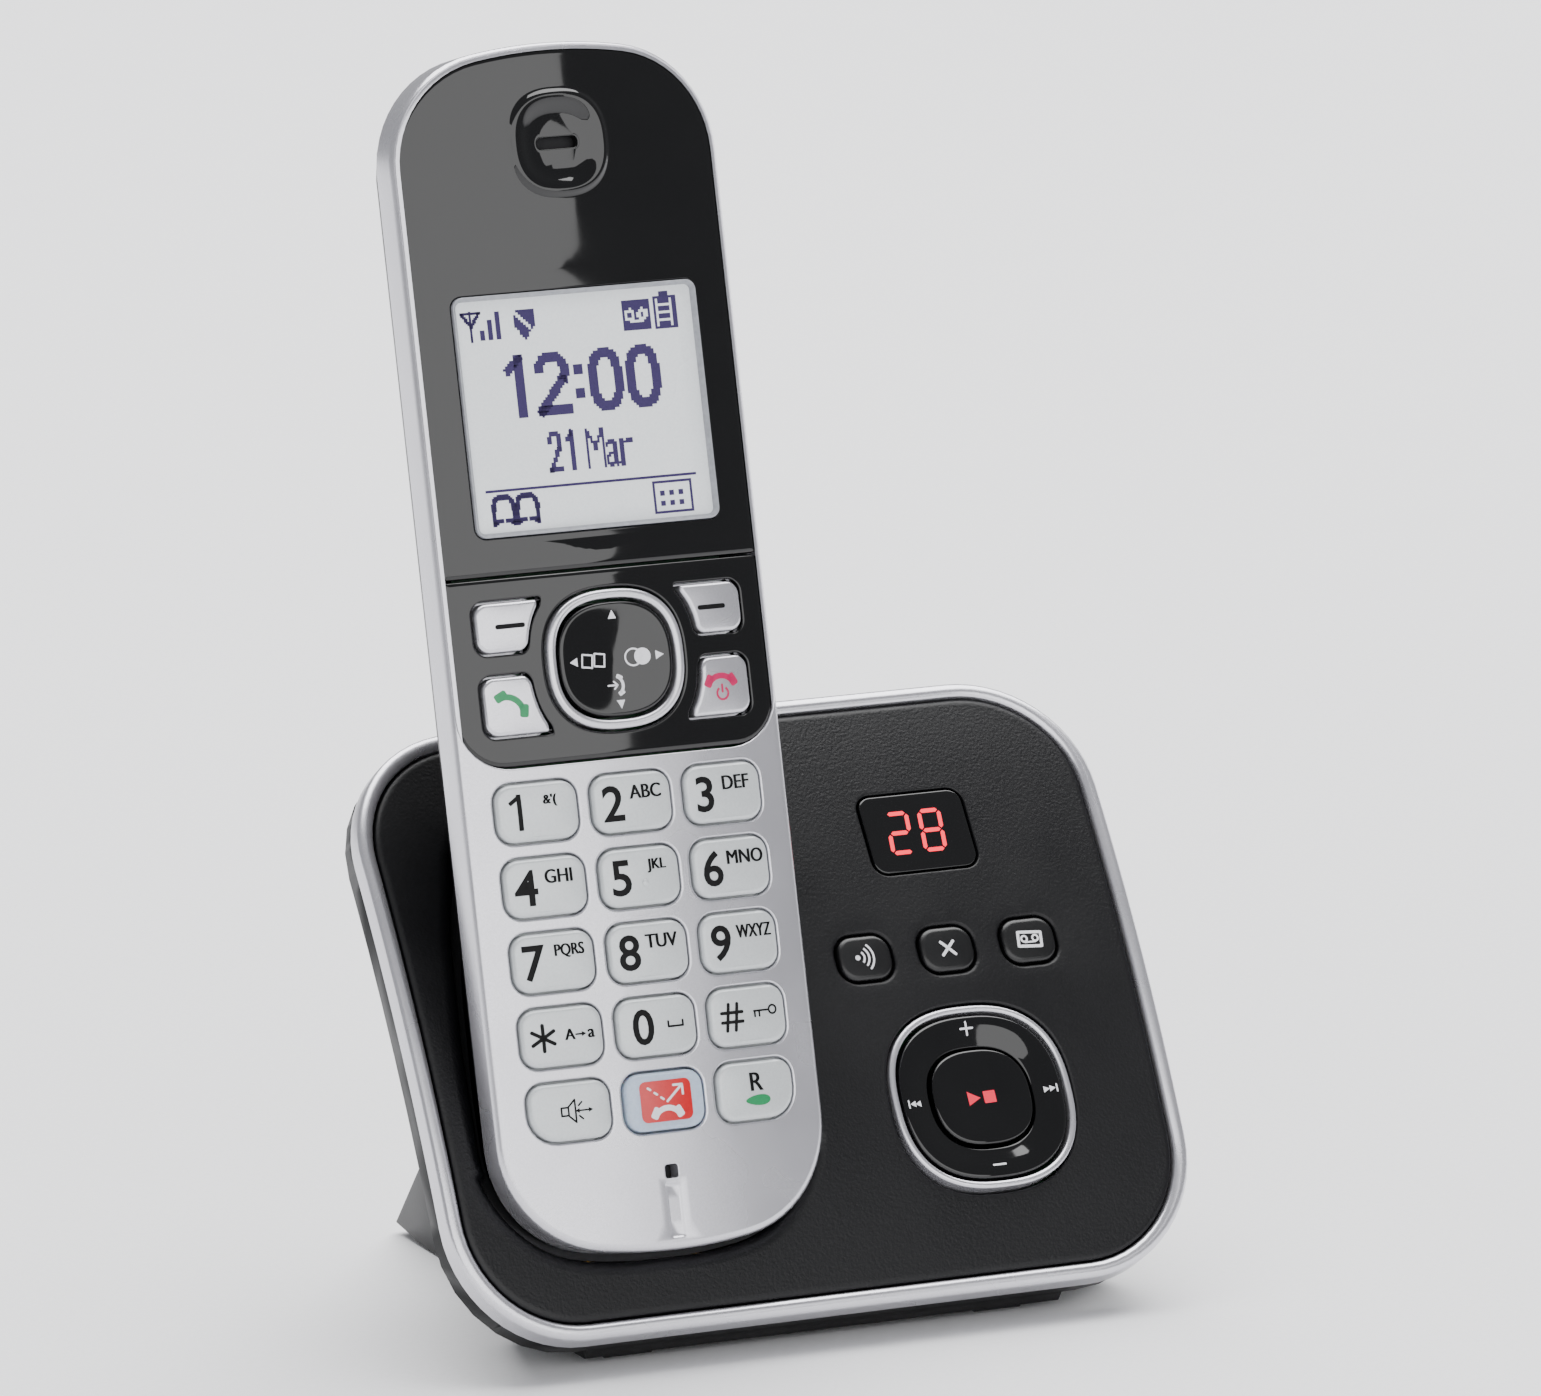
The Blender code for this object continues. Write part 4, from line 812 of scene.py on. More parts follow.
def makeNavigator():
    rows = hoopRows(navigation["band"], 0.5 * mm, 3 * mm)
    finished(ringBand("navigatorRing", handsetAt, ringShape(), rows, silverPaint), "handset", "silver_case",
             "navigator_ring")
    shrink = 2 * navigation["band"] + 2 * navigation["gap"]
    width, height = navigation["ringWidth"] - shrink, navigation["ringHeight"] - shrink

    def dish(x, z):
        share = squircleShare(x, z, 0, navigation["ring"], width, height)
        return 0.3 * mm - 0.65 * mm * smooth(share, 0.05, 0.95)
    creases = [ringShape(-shrink, share) for share in (0.3, 0.5, 0.7, 0.82, 0.9)]
    pad = plate("navigatorPad", handsetAt, ringShape(-shrink), [], dish, 0.45 * mm,
                [(0, 3.2 * mm)], [], 0, pianoBlack, (1.6 * mm, 1.6 * mm), creases=creases)
    finished(pad, "navigator_key", "gloss_black", "navigator_key")
    return dish


navigatorTop = makeNavigator()


def pillowTop(cx, cz, width, height, proud, rise):
    def top(x, z):
        across = np.clip(abs(x - cx) / (width / 2), 0, 1)
        up = np.clip(abs(z - cz) / (height / 2), 0, 1)
        return faceDrop(x) - proud - rise * (1 - across ** 2.4) * (1 - up ** 2.4)
    return top


keyTops = {}


def makeKeys():
    back = frontCase["faceBack"] + keys["gap"] + 0.6 * mm
    for name, row, column, x, z in keyCentres():
        top = pillowTop(x, z, keys["width"], keys["height"], keys["proud"] - 0.15 * mm, keys["pillow"])
        keyTops[name] = top
        wall = [(0, back - 0.6 * mm), (keys["flange"], back - 0.6 * mm), (keys["flange"], back)]
        red = name == "key_block"
        key = plate(name.replace("key_", "dialKey_"), handsetAt, keyOutline(row, column, x, z), [], top,
                    keys["edge"], wall, [], 0, frameClear if red else keyCoat, (1.3 * mm, 1.3 * mm))
        finished(key, name, "key_red" if red else "key_grey", name)
    back = cover["thickness"] + faceDrop(navigation["outer"]) + 0.9 * mm
    for name, (side, spanName) in sideKeys.items():
        low, high = navigation[spanName]
        top = pillowTop(side * 14.6 * mm, (low + high) / 2, 11 * mm, high - low,
                        navigation["sideProud"] - 0.1 * mm,
                        0.35 * mm)
        keyTops[name] = top
        key = plate(name.replace("_key", "Key"), handsetAt, sideKeyOutline(side, navigation[spanName]), [],
                    top,
                    0.5 * mm, [(0, back - 0.6 * mm), (0.25 * mm, back - 0.6 * mm), (0.25 * mm, back)], [], 0,
                    silverPaint, (1.2 * mm, 1.2 * mm))
        finished(key, name, "key_grey", name)


makeKeys()
print("keys made")


# the base: panel with the handset's pocket, trim, window, buttons and four-way ring

basePanel = inMm(thickness=2.2, fit=0.3, rim=0.9, rimDrop=0.5, pocketClear=0.6, pocketWall=1.5, roll=2.4,
                 window=(26.9, 22.1, 15.8, 11.7), windowCorner=2, buttonRow=4.3, buttonFirst=13.9,
                 buttonPitch=12.6, buttonWidth=8.2, buttonHeight=6.6, buttonCorner=2.6, well=0.8,
                 wellDepth=0.35, dial=(26.5, -17.4), dialWidth=27.2, dialHeight=26.6, band=1,
                 playWidth=14.8, playHeight=13.8)
rearShape = ((0, 0), (0.27, 0.08), (0.55, 0.25), (0.78, 0.47), (0.94, 0.73), (1, 1))
rearCase = inMm(step=0.9, inset=13, start=7.3)


def baseOutline(inset=0.0):
    loop = roundedBox(0, 0, base["width"] - 2 * inset, base["height"] - 2 * inset, base["corner"] - inset, 14)
    return evened(loop, 2 * mm)


def rearInset(depth):
    # how far the handset's back has drawn in at this depth behind its face
    share = np.clip((depth - rearCase["start"]) / (body["thickness"] - rearCase["start"]), 0, 1)
    shares, insets = np.array(rearShape).T
    step = np.where(depth > rearCase["start"], rearCase["step"], 0)
    return step + rearCase["inset"] * np.interp(share, shares, insets)


def pocketOutline(grow):
    # where the handset's shape, with room round it, meets the panel's face
    toHandset = handsetAt.inverted() @ panelAt
    rows = []
    for z in np.linspace(-40 * mm, 40 * mm, 321):
        spot = toHandset @ Vector((0, panelDrop(z), z))
        inset = float(rearInset(np.array(spot.y))) - grow
        if spot.y > body["thickness"] + grow:
            break
        half = body["width"] / 2 - inset
        corner = max(body["corner"] - inset, 2 * mm)
        low = endRow(half, inset, corner, body["sweep"] - inset)
        right = low[low[:, 0] > 0]
        if spot.z < low[:, 1].min():
            continue
        narrowed = float(np.interp(spot.z, right[:, 1], right[:, 0]))
        rows.append((narrowed if spot.z < right[-1, 1] else half, z))
    rows = np.array(rows)
    # even steps along the curve, with the left side as a mirror of the right
    length = np.concatenate([[0], np.cumsum(np.linalg.norm(np.diff(rows, axis=0), axis=1))])
    even = np.linspace(0, length[-1], 70)
    right = np.stack([np.interp(even, length, rows[:, 0]), np.interp(even, length, rows[:, 1])], 1)
    left = right[::-1] * (-1, 1)
    centre = handsetAt.translation.x
    bottom = np.stack([np.linspace(left[-1, 0], right[0, 0], 8)[1:-1], np.full(6, right[0, 1])], 1)
    topRow = np.stack([np.linspace(right[-1, 0], left[0, 0], 12)[1:-1], np.full(10, right[-1, 1])], 1)
    loop = np.concatenate([right, topRow, left, bottom if abs(left[-1, 0]) > 1 * mm else bottom[:0]])
    return loop + (centre, 0)


def baseButtons():
    for i, name in enumerate(("locator_button", "erase_button", "answer_button")):
        yield name, basePanel["buttonFirst"] + i * basePanel["buttonPitch"], basePanel["buttonRow"]


def buttonOutline(x, z, grow=0.0):
    return roundedBox(x, z, basePanel["buttonWidth"] + 2 * grow, basePanel["buttonHeight"] + 2 * grow,
                      basePanel["buttonCorner"] + grow, 8)


def panelTop(x, z):
    depth = panelDrop(z)
    for _, bx, bz in baseButtons():
        out = boxDistance(x, z, bx, bz, basePanel["buttonWidth"], basePanel["buttonHeight"],
                          basePanel["buttonCorner"])
        depth = depth + basePanel["wellDepth"] * (1 - smooth(out, 0.1 * mm, basePanel["well"]))
    return depth


def panelPlain(x, z):
    return panelDrop(z)


def deepBack(x, z):
    return panelDrop(z) + basePanel["roll"] + 0.4 * mm


def makeBasePanel():
    outer = baseOutline(base["trim"] + basePanel["fit"])
    x, z, width, height = basePanel["window"]
    pocket = pocketOutline(basePanel["pocketClear"])
    holes = [pocket,
             roundedBox(x, z, width + 0.6 * mm, height + 0.6 * mm, basePanel["windowCorner"] + 0.3 * mm)]
    holes += [buttonOutline(bx, bz, 0.3 * mm) for _, bx, bz in baseButtons()]
    holes.append(squircle(*basePanel["dial"], basePanel["dialWidth"] + 0.6 * mm,
                          basePanel["dialHeight"] + 0.6 * mm))
    creases = [buttonOutline(bx, bz, grow * mm) for _, bx, bz in baseButtons() for grow in (0.5, 0.68, 0.86)]
    return plate("basePanelFace", panelAt, outer, holes, panelTop, basePanel["rim"], [(0, deepBack)],
                 [basePanel["roll"], 0.3 * mm] + [0.15 * mm] * 3 + [0.4 * mm], deepBack, sparkBlack,
                 (2 * mm, 2 * mm), steps=7, creases=creases, rimDrop=basePanel["rimDrop"])


basePanelFace = makeBasePanel()


def slabBetween(name, front, back, reach=60 * mm):
    # everything between two depths under the crowned panel face
    rows = np.linspace(-reach, reach, 61)
    profile = [(front + panelDrop(z), z) for z in rows] + [(back + panelDrop(z), z) for z in rows[::-1]]
    return stacked(name, [[(x, y, z) for y, z in profile] for x in (-90 * mm, 90 * mm)], panelAt, rearBlack)


def combined(target, operation, *tools):
    # exact Booleans, applied, with the tools thrown away
    for tool in tools:
        step = target.modifiers.new("step", "BOOLEAN")
        step.operation = operation
        step.solver = "EXACT"
        step.object = tool
        graph = bpy.context.evaluated_depsgraph_get()
        mesh = bpy.data.meshes.new_from_object(target.evaluated_get(graph))
        target.modifiers.clear()
        old = target.data
        target.data = mesh
        mesh.name = old.name
        bpy.data.meshes.remove(old)
        bpy.data.meshes.remove(tool.data)
    target.data.shade_smooth()
    target.data.set_sharp_from_angle(angle=math.radians(35))
    return target


def handsetShell(name, grow, front, rise, dip):
    # the handset's shape with room round it, open upward by rise and lowered at its deepest by dip
    rings = []
    top = body["length"] + rise
    start, back = rearCase["start"], body["thickness"]
    depths = np.concatenate([[front], np.linspace(start, back, 22)[1:]])
    for depth in depths:
        inset = float(rearInset(np.array(max(depth, 0)))) - grow
        corner = max(body["corner"] - inset, 2 * mm)
        low = endRow(body["width"] / 2 - inset, inset, corner, body["sweep"] - inset)
        drop = dip if depth > start + (back - start) * 0.7 else 0
        loop = np.concatenate([low - (0, drop), [(low[-1, 0], top), (low[0, 0], top)]])
        last = grow if depth == depths[-1] else 0
        rings.append(np.stack([loop[:, 0], np.full(len(loop), depth + last), loop[:, 1]], 1))
    return stacked(name, rings, handsetAt, rearBlack)


def makePocketLiner():
    clear, wall = basePanel["pocketClear"], basePanel["pocketWall"]
    dip = 4.5 * mm
    outer = handsetShell("pocketLiner", clear + wall, -20 * mm, 80 * mm, dip)
    slab = slabBetween("linerSlab", basePanel["roll"] - 0.2 * mm, 60 * mm)
    edge = baseOutline(base["trim"] + 0.6 * mm)
    reach = stacked("linerReach", list(ringsFrom(edge, [(0, -20 * mm), (0, 70 * mm)])), panelAt, rearBlack)
    combined(outer, "INTERSECT", slab, reach)
    inner = handsetShell("pocketRoom", clear, -25 * mm, 90 * mm, dip)
    pins = []
    for pin in ("charge_pin_left", "charge_pin_right"):
        low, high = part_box(pin)
        middle = handsetAt.inverted() @ ((low + high) / 2)
        loop = roundedBox(middle.x, middle.y, 3 * mm, 3 * mm, 1.49 * mm, 6)
        rings = [[(x, y, z) for x, y in loop] for z in (middle.z - 12 * mm, middle.z + 12 * mm)]
        pins.append(stacked("pinHole", rings, handsetAt, rearBlack))
    combined(outer, "DIFFERENCE", inner, *pins)
    return outer


pocketLiner = makePocketLiner()
finished(basePanelFace, "base", "dark_case", "base_panel")
finished(pocketLiner, "base", "dark_case")


def makeBaseTrim():
    width, shoulder = base["trim"], 0.5 * mm
    rows = [(0, base["trimDepth"]), (0, shoulder)]
    for i in range(1, 10):
        turn = math.pi * i / 10
        rise = (shoulder + base["trimProud"]) * math.sin(turn)
        rows.append((-width / 2 + width / 2 * math.cos(turn), shoulder - rise))
    rows += [(-width, shoulder), (-width, base["trimDepth"])]
    followed = [(offset, lambda x, z, depth=depth: panelDrop(z) + depth) for offset, depth in rows]
    trim = ringBand("silverTrim", panelAt, baseOutline(), followed, silverPaint)
    finished(trim, "base", "silver_case", "base_trim")


makeBaseTrim()


def makeWindow():
    x, z, width, height = basePanel["window"]
    loop = roundedBox(x, z, width, height, basePanel["windowCorner"])
    lens = plate("messageWindow", panelAt, loop, [], panelPlain, 0.25 * mm, [(0, 3.4 * mm)], [], 0,
                 smokedLens, (3 * mm, 3 * mm))
    finished(lens, "base", "gloss_black", "counter_window")


makeWindow()


def domeTop(cx, cz, width, height, proud, rise, floor):
    def top(x, z):
        share = squircleShare(x, z, cx, cz, width, height)
        return floor - proud - rise * (1 - np.clip(share, 0, 1) ** 2)
    return top


def makeBaseButtons():
    back = basePanel["thickness"] + panelDrop(basePanel["buttonRow"] + basePanel["buttonHeight"]) + 0.9 * mm
    for name, x, z in baseButtons():
        top = domeTop(x, z, basePanel["buttonWidth"], basePanel["buttonHeight"], 0.15 * mm, 0.2 * mm,
                      panelDrop(z))
        keyTops[name] = top
        rows = [(0, back - 0.6 * mm), (0.8 * mm, back - 0.6 * mm), (0.8 * mm, back)]
        key = plate(name.replace("_button", "Button"), panelAt, buttonOutline(x, z), [], top, 0.7 * mm,
                    rows, [], 0, sparkBlackSoft, (1.3 * mm, 1.3 * mm))
        finished(key, name, "gloss_black", name)


makeBaseButtons()


def makeDial():
    x, z = basePanel["dial"]
    drop = panelDrop(z)
    width, height, band = basePanel["dialWidth"], basePanel["dialHeight"], basePanel["band"]
    rows = hoopRows(band, 0.5 * mm, 3 * mm, drop, 0.4 * mm)
    finished(ringBand("dialTrim", panelAt, squircle(x, z, width, height, 2.5, 120), rows, silverPaint),
             "base", "silver_case", "base_navigator_trim")
    gap = navigation["gap"]
    outerWidth, outerHeight = width - 2 * band - 2 * gap, height - 2 * band - 2 * gap
    hole = squircle(x, z, basePanel["playWidth"] + 2 * gap, basePanel["playHeight"] + 2 * gap)

    def saucer(px, pz):
        # high at the outer edge, sinking to a soft valley round the middle button
        share = squircleShare(px, pz, x, z, outerWidth, outerHeight)
        return drop + 0.35 * mm - 0.75 * mm * smooth(share, 0.55, 0.95)
    creases = [squircle(x, z, outerWidth * s, outerHeight * s) for s in (0.7, 0.78, 0.86, 0.92)]
    pad = plate("dialPad", panelAt, squircle(x, z, outerWidth, outerHeight, 2.5, 120), [hole], saucer,
                0.5 * mm, [(0, drop + 2.2 * mm)], 0.3 * mm, drop + 2.2 * mm, pianoBlack,
                (1.6 * mm, 1.6 * mm), creases=creases)
    finished(pad, "base_navigator_key", "gloss_black", "base_navigator_key")
    keyTops["base_navigator_key"] = saucer

    def dish(px, pz):
        share = squircleShare(px, pz, x, z, basePanel["playWidth"], basePanel["playHeight"])
        return drop + 0.35 * mm - 0.6 * mm * smooth(share, 0.0, 0.95)
    wide, tall = basePanel["playWidth"], basePanel["playHeight"]
    creases = [squircle(x, z, wide * share, tall * share) for share in (0.4, 0.6, 0.75, 0.88)]
    play = plate("playStopButton", panelAt, squircle(x, z, wide, tall), [], dish,
                 0.4 * mm, [(0, drop + 5 * mm)], [], 0, pianoBlack, (1.5 * mm, 1.5 * mm), creases=creases)
    finished(play, "play_stop_button", "gloss_black", "play_stop_button")
    keyTops["play_stop_button"] = dish


makeDial()
print("base made")


# legends, symbols and the display's dots

def dotsIn(shape, pitch):
    # centres of a dot grid that fall inside a flat shape, as (column, row) places
    points, faces = shape
    low, high = points.min(0), points.max(0)
    columns = np.arange(low[0] + pitch / 2, high[0], pitch)
    rows = np.arange(low[1] + pitch / 2, high[1], pitch)
    grid = np.stack(np.meshgrid(columns, rows), -1).reshape(-1, 2)
    hit = np.zeros(len(grid), bool)
    for face in faces:
        for k in range(1, len(face) - 1):
            a, b, c = points[face[0]], points[face[k]], points[face[k + 1]]
            d = (b[1] - c[1]) * (a[0] - c[0]) + (c[0] - b[0]) * (a[1] - c[1])
            if abs(d) < 1e-18:
                continue
            u = ((b[1] - c[1]) * (grid[:, 0] - c[0]) + (c[0] - b[0]) * (grid[:, 1] - c[1])) / d
            v = ((c[1] - a[1]) * (grid[:, 0] - c[0]) + (a[0] - c[0]) * (grid[:, 1] - c[1])) / d
            hit |= (u >= 0) & (v >= 0) & (u + v <= 1)
    return grid[hit]


def dotTree():
    # a block on every point, made real and given its finish
    tree = bpy.data.node_groups.new("dotMatrix", "GeometryNodeTree")
    tree.interface.new_socket("Geometry", in_out="INPUT", socket_type="NodeSocketGeometry")
    for name in ("Width", "Thickness", "Height"):
        tree.interface.new_socket(name, in_out="INPUT", socket_type="NodeSocketFloat")
    tree.interface.new_socket("Finish", in_out="INPUT", socket_type="NodeSocketMaterial")
    tree.interface.new_socket("Geometry", in_out="OUTPUT", socket_type="NodeSocketGeometry")
    given = addNode(tree, "NodeGroupInput").outputs
    size = addNode(tree, "ShaderNodeCombineXYZ", None,
                   {"X": given["Width"], "Y": given["Thickness"], "Z": given["Height"]})
    block = addNode(tree, "GeometryNodeMeshCube", None, {"Size": size.outputs[0]})
    copies = addNode(tree, "GeometryNodeInstanceOnPoints", None,
                     {"Points": given["Geometry"], "Instance": block.outputs["Mesh"]})
    real = addNode(tree, "GeometryNodeRealizeInstances", None, {"Geometry": copies.outputs["Instances"]})
    dressed = addNode(tree, "GeometryNodeSetMaterial", None,
                      {"Geometry": real.outputs["Geometry"], "Material": given["Finish"]})
    addNode(tree, "NodeGroupOutput", None, {"Geometry": dressed.outputs["Geometry"]})
    return tree


dotMatrix = dotTree()


def repeated(name, tree, points, place, values):
    # runs a node tree on a cloud of points and keeps the result as a plain mesh
    cloud = bpy.data.meshes.new(name)
    cloud.from_pydata([tuple(p) for p in points], [], [])
    holder = bpy.data.objects.new(name, cloud)
    bpy.context.scene.collection.objects.link(holder)
    modifier = holder.modifiers.new(name, "NODES")
    modifier.node_group = tree
    sockets = {item.name: item.identifier for item in tree.interface.items_tree if item.in_out == "INPUT"}
    for key, value in values.items():
        modifier[sockets[key]] = value
    graph = bpy.context.evaluated_depsgraph_get()
    mesh = bpy.data.meshes.new_from_object(holder.evaluated_get(graph))
    holder.modifiers.clear()
    holder.data = mesh
    bpy.data.meshes.remove(cloud)
    mesh.name = name
    mesh.transform(place)
    return holder


def timeStrokes(spot, figure, width, height, stroke):
    # a tall rounded figure, or the colon, from bars and bows
    width, height, stroke = width * mm, height * mm, stroke * mm
    w, h = width / 2 - stroke / 2, height / 2 - stroke / 2
    if figure == "0":
        return [hoop(spot, 2 * w, 2 * h, stroke, 2.6, 0, 360, 60)]
    if figure == "1":
        return [bar(spot + (0.25 * w, -h), spot + (0.25 * w, h), stroke, 0.1),
                bar(spot + (0.25 * w, h), spot + (-0.6 * w, 0.62 * h), stroke * 0.85, 0.1)]
    if figure == "2":
        return [hoop(spot + (0, h * 0.45), 2 * w, 1.1 * h, stroke, 2.3, -40, 180, 40),
                bar(spot + (w * 0.72, h * 0.12), spot + (-w, -h), stroke, 0.1),
                bar(spot + (-w, -h), spot + (w, -h), stroke, 0.1)]
    return [outlineShape(roundedBox(spot[0], spot[1] + up * h * 0.45, stroke, stroke, 0.05 * stroke, 2))
            for up in (-1, 1)]


def triangle(cx, cz, size, degrees):
    loop = [(cx + size * math.cos(math.radians(degrees + a)), cz + size * math.sin(math.radians(degrees + a)))
            for a in (0, 125, 235)]
    return outlineShape(loop)


def receiverShape(spot, length, degrees, stroke):
    # a telephone handset: a bowed bar with a cup on each end
    length, stroke = length * mm, stroke * mm
    shapes = [hoop(spot - (0, length * 0.42), length * 0.92, length * 0.8, stroke, 2.0, 25, 155, 20)]
    for side in (-1, 1):
        foot = spot + (side * length * 0.42, -length * 0.13)
        shapes.append(bar(foot + (-side * length * 0.04, length * 0.02),
                          foot + (side * length * 0.02, -length * 0.09), stroke * 1.45, 0.25))
    return [turnedShape(shape, spot, degrees) for shape in shapes]


def starStrokes(spot, reach, width):
    shapes = []
    for degrees in (90, 30, -30):
        way = np.array((math.cos(math.radians(degrees)), math.sin(math.radians(degrees)))) * reach * mm
        shapes.append(bar(spot - way, spot + way, width * mm))
    return shapes


def frameStrokes(spot, width, height, corner, line):
    loop = roundedBox(*spot, width * mm, height * mm, corner * mm, 2)
    return [bar(a, b, line * mm) for a, b in zip(loop[::3], np.roll(loop[::3], -1, 0))]


def lettering(spot, text, height, bold, squeeze):
    # small letters are struck three times, a little apart, which makes them bold
    return [textShape(text, height * mm, spot + (shift * mm, 0), bold, squeeze)
            for shift in ((0,) if bold else (-0.08, 0.0, 0.08))]


def barStroke(spot, right, up, width, ends=0.45):
    return [bar(spot, spot + (right * mm, up * mm), width * mm, ends)]


def hoopStroke(spot, width, height, line, *sweep):
    return [hoop(spot, width * mm, height * mm, line * mm, *sweep)]


def boxStroke(spot, width, height, corner=0.01, steps=2):
    return [outlineShape(roundedBox(*spot, width * mm, height * mm, corner * mm, steps))]


def tipStroke(spot, size, degrees):
    return [triangle(*spot, size * mm, degrees)]


def letterStroke(spot, text, height, squeeze):
    return [textShape(text, height * mm, spot, 0, squeeze)]


strokeMakers = {"bar": barStroke, "hoop": hoopStroke, "box": boxStroke, "tip": tipStroke, "text": lettering,
                "letter": letterStroke, "phone": receiverShape, "star": starStrokes, "frame": frameStrokes,
                "figure": timeStrokes}


def drawn(strokes, cx, cz):
    # the shapes of one mark; a stroke is its kind, its place in mm from (cx, cz), and its sizes in mm. A
    # bar's place is its start, and its first two sizes are how far it runs to the right and up.
    return [shape for kind, right, up, *sizes in strokes
            for shape in strokeMakers[kind](np.array((cx + right * mm, cz + up * mm)), *sizes)]


def onLens(across, down):
    # a place in the display window, as shares from its top left corner
    return ((across - 0.5) * cover["lensWidth"], cover["lensCentre"] + (0.5 - down) * cover["lensHeight"])


# the display's marks: place in the window, how much finer the dots are than the screen's own, and the strokes
dotSize = lcd["dot"] / mm
lcdMarks = (
    (0.49, 0.385, 1, [("figure", right, 0, figure, wide, 8.6, 1.35) for figure, right, wide in
                      (("1", -9.2, 5.0), ("2", -3.9, 5.1), (":", 0, 1.4), ("0", 4.0, 5.1), ("0", 9.6, 5.1))]),
    (0.5, 0.665, 1, [("figure", -5.0, 0, "2", 2.1, 5.6, 0.66), ("figure", -2.6, 0, "1", 2.0, 5.6, 0.66),
                     ("letter", 1.0, 0, "M", 5.6, 0.52), ("letter", 3.5, -0.85, "a", 3.9, 0.62),
                     ("letter", 5.6, -0.85, "r", 3.9, 0.75)]),
    # an aerial with three bars, and the rule over the foot of the screen
    (0.075, 0.125, 1.5, [("bar", 0, -1.9, 0, 3.8, dotSize), ("bar", -1.3, 1.9, 2.6, 0, dotSize),
                         ("bar", -1.2, 1.7, 1.2, -1.7, dotSize), ("bar", 1.2, 1.7, -1.2, -1.7, dotSize)]),
    (0.118, 0.184, 1, [("box", 1.1946 * i, tall / 2, 0.7, tall) for i, tall in enumerate((1.5, 2.6, 3.9))]),
    (0.872, 0.052, 1, [("box", 0, 0, 1.4, 0.7)]),
    (0.495, 0.805, 1, [("box", 0, 0, 31.494, 0.5)]),
    # an open book
    (0.175, 0.888, 1.4, [stroke for side in (-1.75, 1.75) for stroke in
                         (("hoop", side, -0.1, 3.0, 3.8, 0.62, 2.6, 0, 180, 30),
                          ("bar", side - 1.5, -0.1, 0, -1.8, 0.5), ("bar", side + 1.5, -0.1, 0, -1.8, 0.5),
                          ("bar", side - 1.4, -1.7, 1.0, 0.3, 0.5),
                          ("bar", side + 1.4, -1.7, -1.0, 0.3, 0.5))]))


def blockOfDots(across, down, width, height, kept):
    # a box of dots, of which kept says which stay, from their places in mm from its middle
    spot = np.array(onLens(across, down))
    cloud = dotsIn(drawn([("box", 0, 0, width, height)], *spot)[0], lcd["dot"])
    x, z = (cloud - spot).T / mm
    return cloud[kept(x, z)]


def reelDots(x, z):
    # two tape reels and the tape between them, left light
    reach = np.hypot(abs(x) - 0.95, z)
    return ~((reach < 0.85) & (reach > 0.35)) & ~((abs(z + 0.75) < 0.18) & (abs(x) < 1.0))


def cellDots(x, z):
    # a battery's case with its charge in four bars
    return (abs(x) > 1.25) | (abs(z) > 1.85) | ((abs(x) < 0.85) & (np.mod(z + 4.0, 1.04) < 0.62))


def menuDots(x, z):
    across = (np.mod(x + 2.1, 1.4) < 0.95) & (abs(x) < 2.1)
    down = (np.mod(z + 1.3, 1.35) < 0.95) & (abs(z) < 1.25)
    return (abs(x) > 2.6) | (abs(z) > 1.8) | (across & down)


def shieldDots():
    # a shield with a light diagonal
    spot = np.array(onLens(0.292, 0.125))
    corners = ((-1.5, 2), (1.5, 2), (1.5, -0.4), (0, -2.3), (-1.5, -0.4))
    cloud = dotsIn(outlineShape([spot + (x * mm, z * mm) for x, z in corners]), lcd["dot"])
    x, z = (cloud - spot).T / mm
    return cloud[abs(x + z * 0.9 - 0.1) > 0.3]


def makeLcdImage():
    clouds = [shieldDots(), blockOfDots(0.752, 0.13, 4.0, 4.2, reelDots),
              blockOfDots(0.872, 0.13, 3.3, 4.4, cellDots),
              blockOfDots(0.825, 0.895, 6.0, 4.4, menuDots)]
    for across, down, finer, strokes in lcdMarks:
        clouds += [dotsIn(shape, lcd["dot"] / finer) for shape in drawn(strokes, *onLens(across, down))]
    points = [(x, lcd["depth"] - lcd["dotRise"], z) for x, z in np.concatenate(clouds)]
    side = lcd["dot"] * 1.02
    sizes = {"Width": side, "Thickness": lcd["dotRise"], "Height": side, "Finish": lcdDot}
    finished(repeated("lcdDots", dotMatrix, points, handsetAt, sizes), "handset", "display_glass")


makeLcdImage()

# the counter's figures, with the segments that each one lights
counter = dict(inMm(shift=-0.3, height=5.9, width=3.0, stroke=0.62, gap=2.0,
                    open=0.16), text="28", slant=0.09)
litSegments = {"2": "abged", "8": "abcdefg"}
segmentEnds = {"a": ((-1, 1), (1, 1)), "g": ((-1, 0), (1, 0)), "d": ((-1, -1), (1, -1)),
               "f": ((-1, 0), (-1, 1)),
               "b": ((1, 0), (1, 1)), "e": ((-1, -1), (-1, 0)), "c": ((1, -1), (1, 0))}


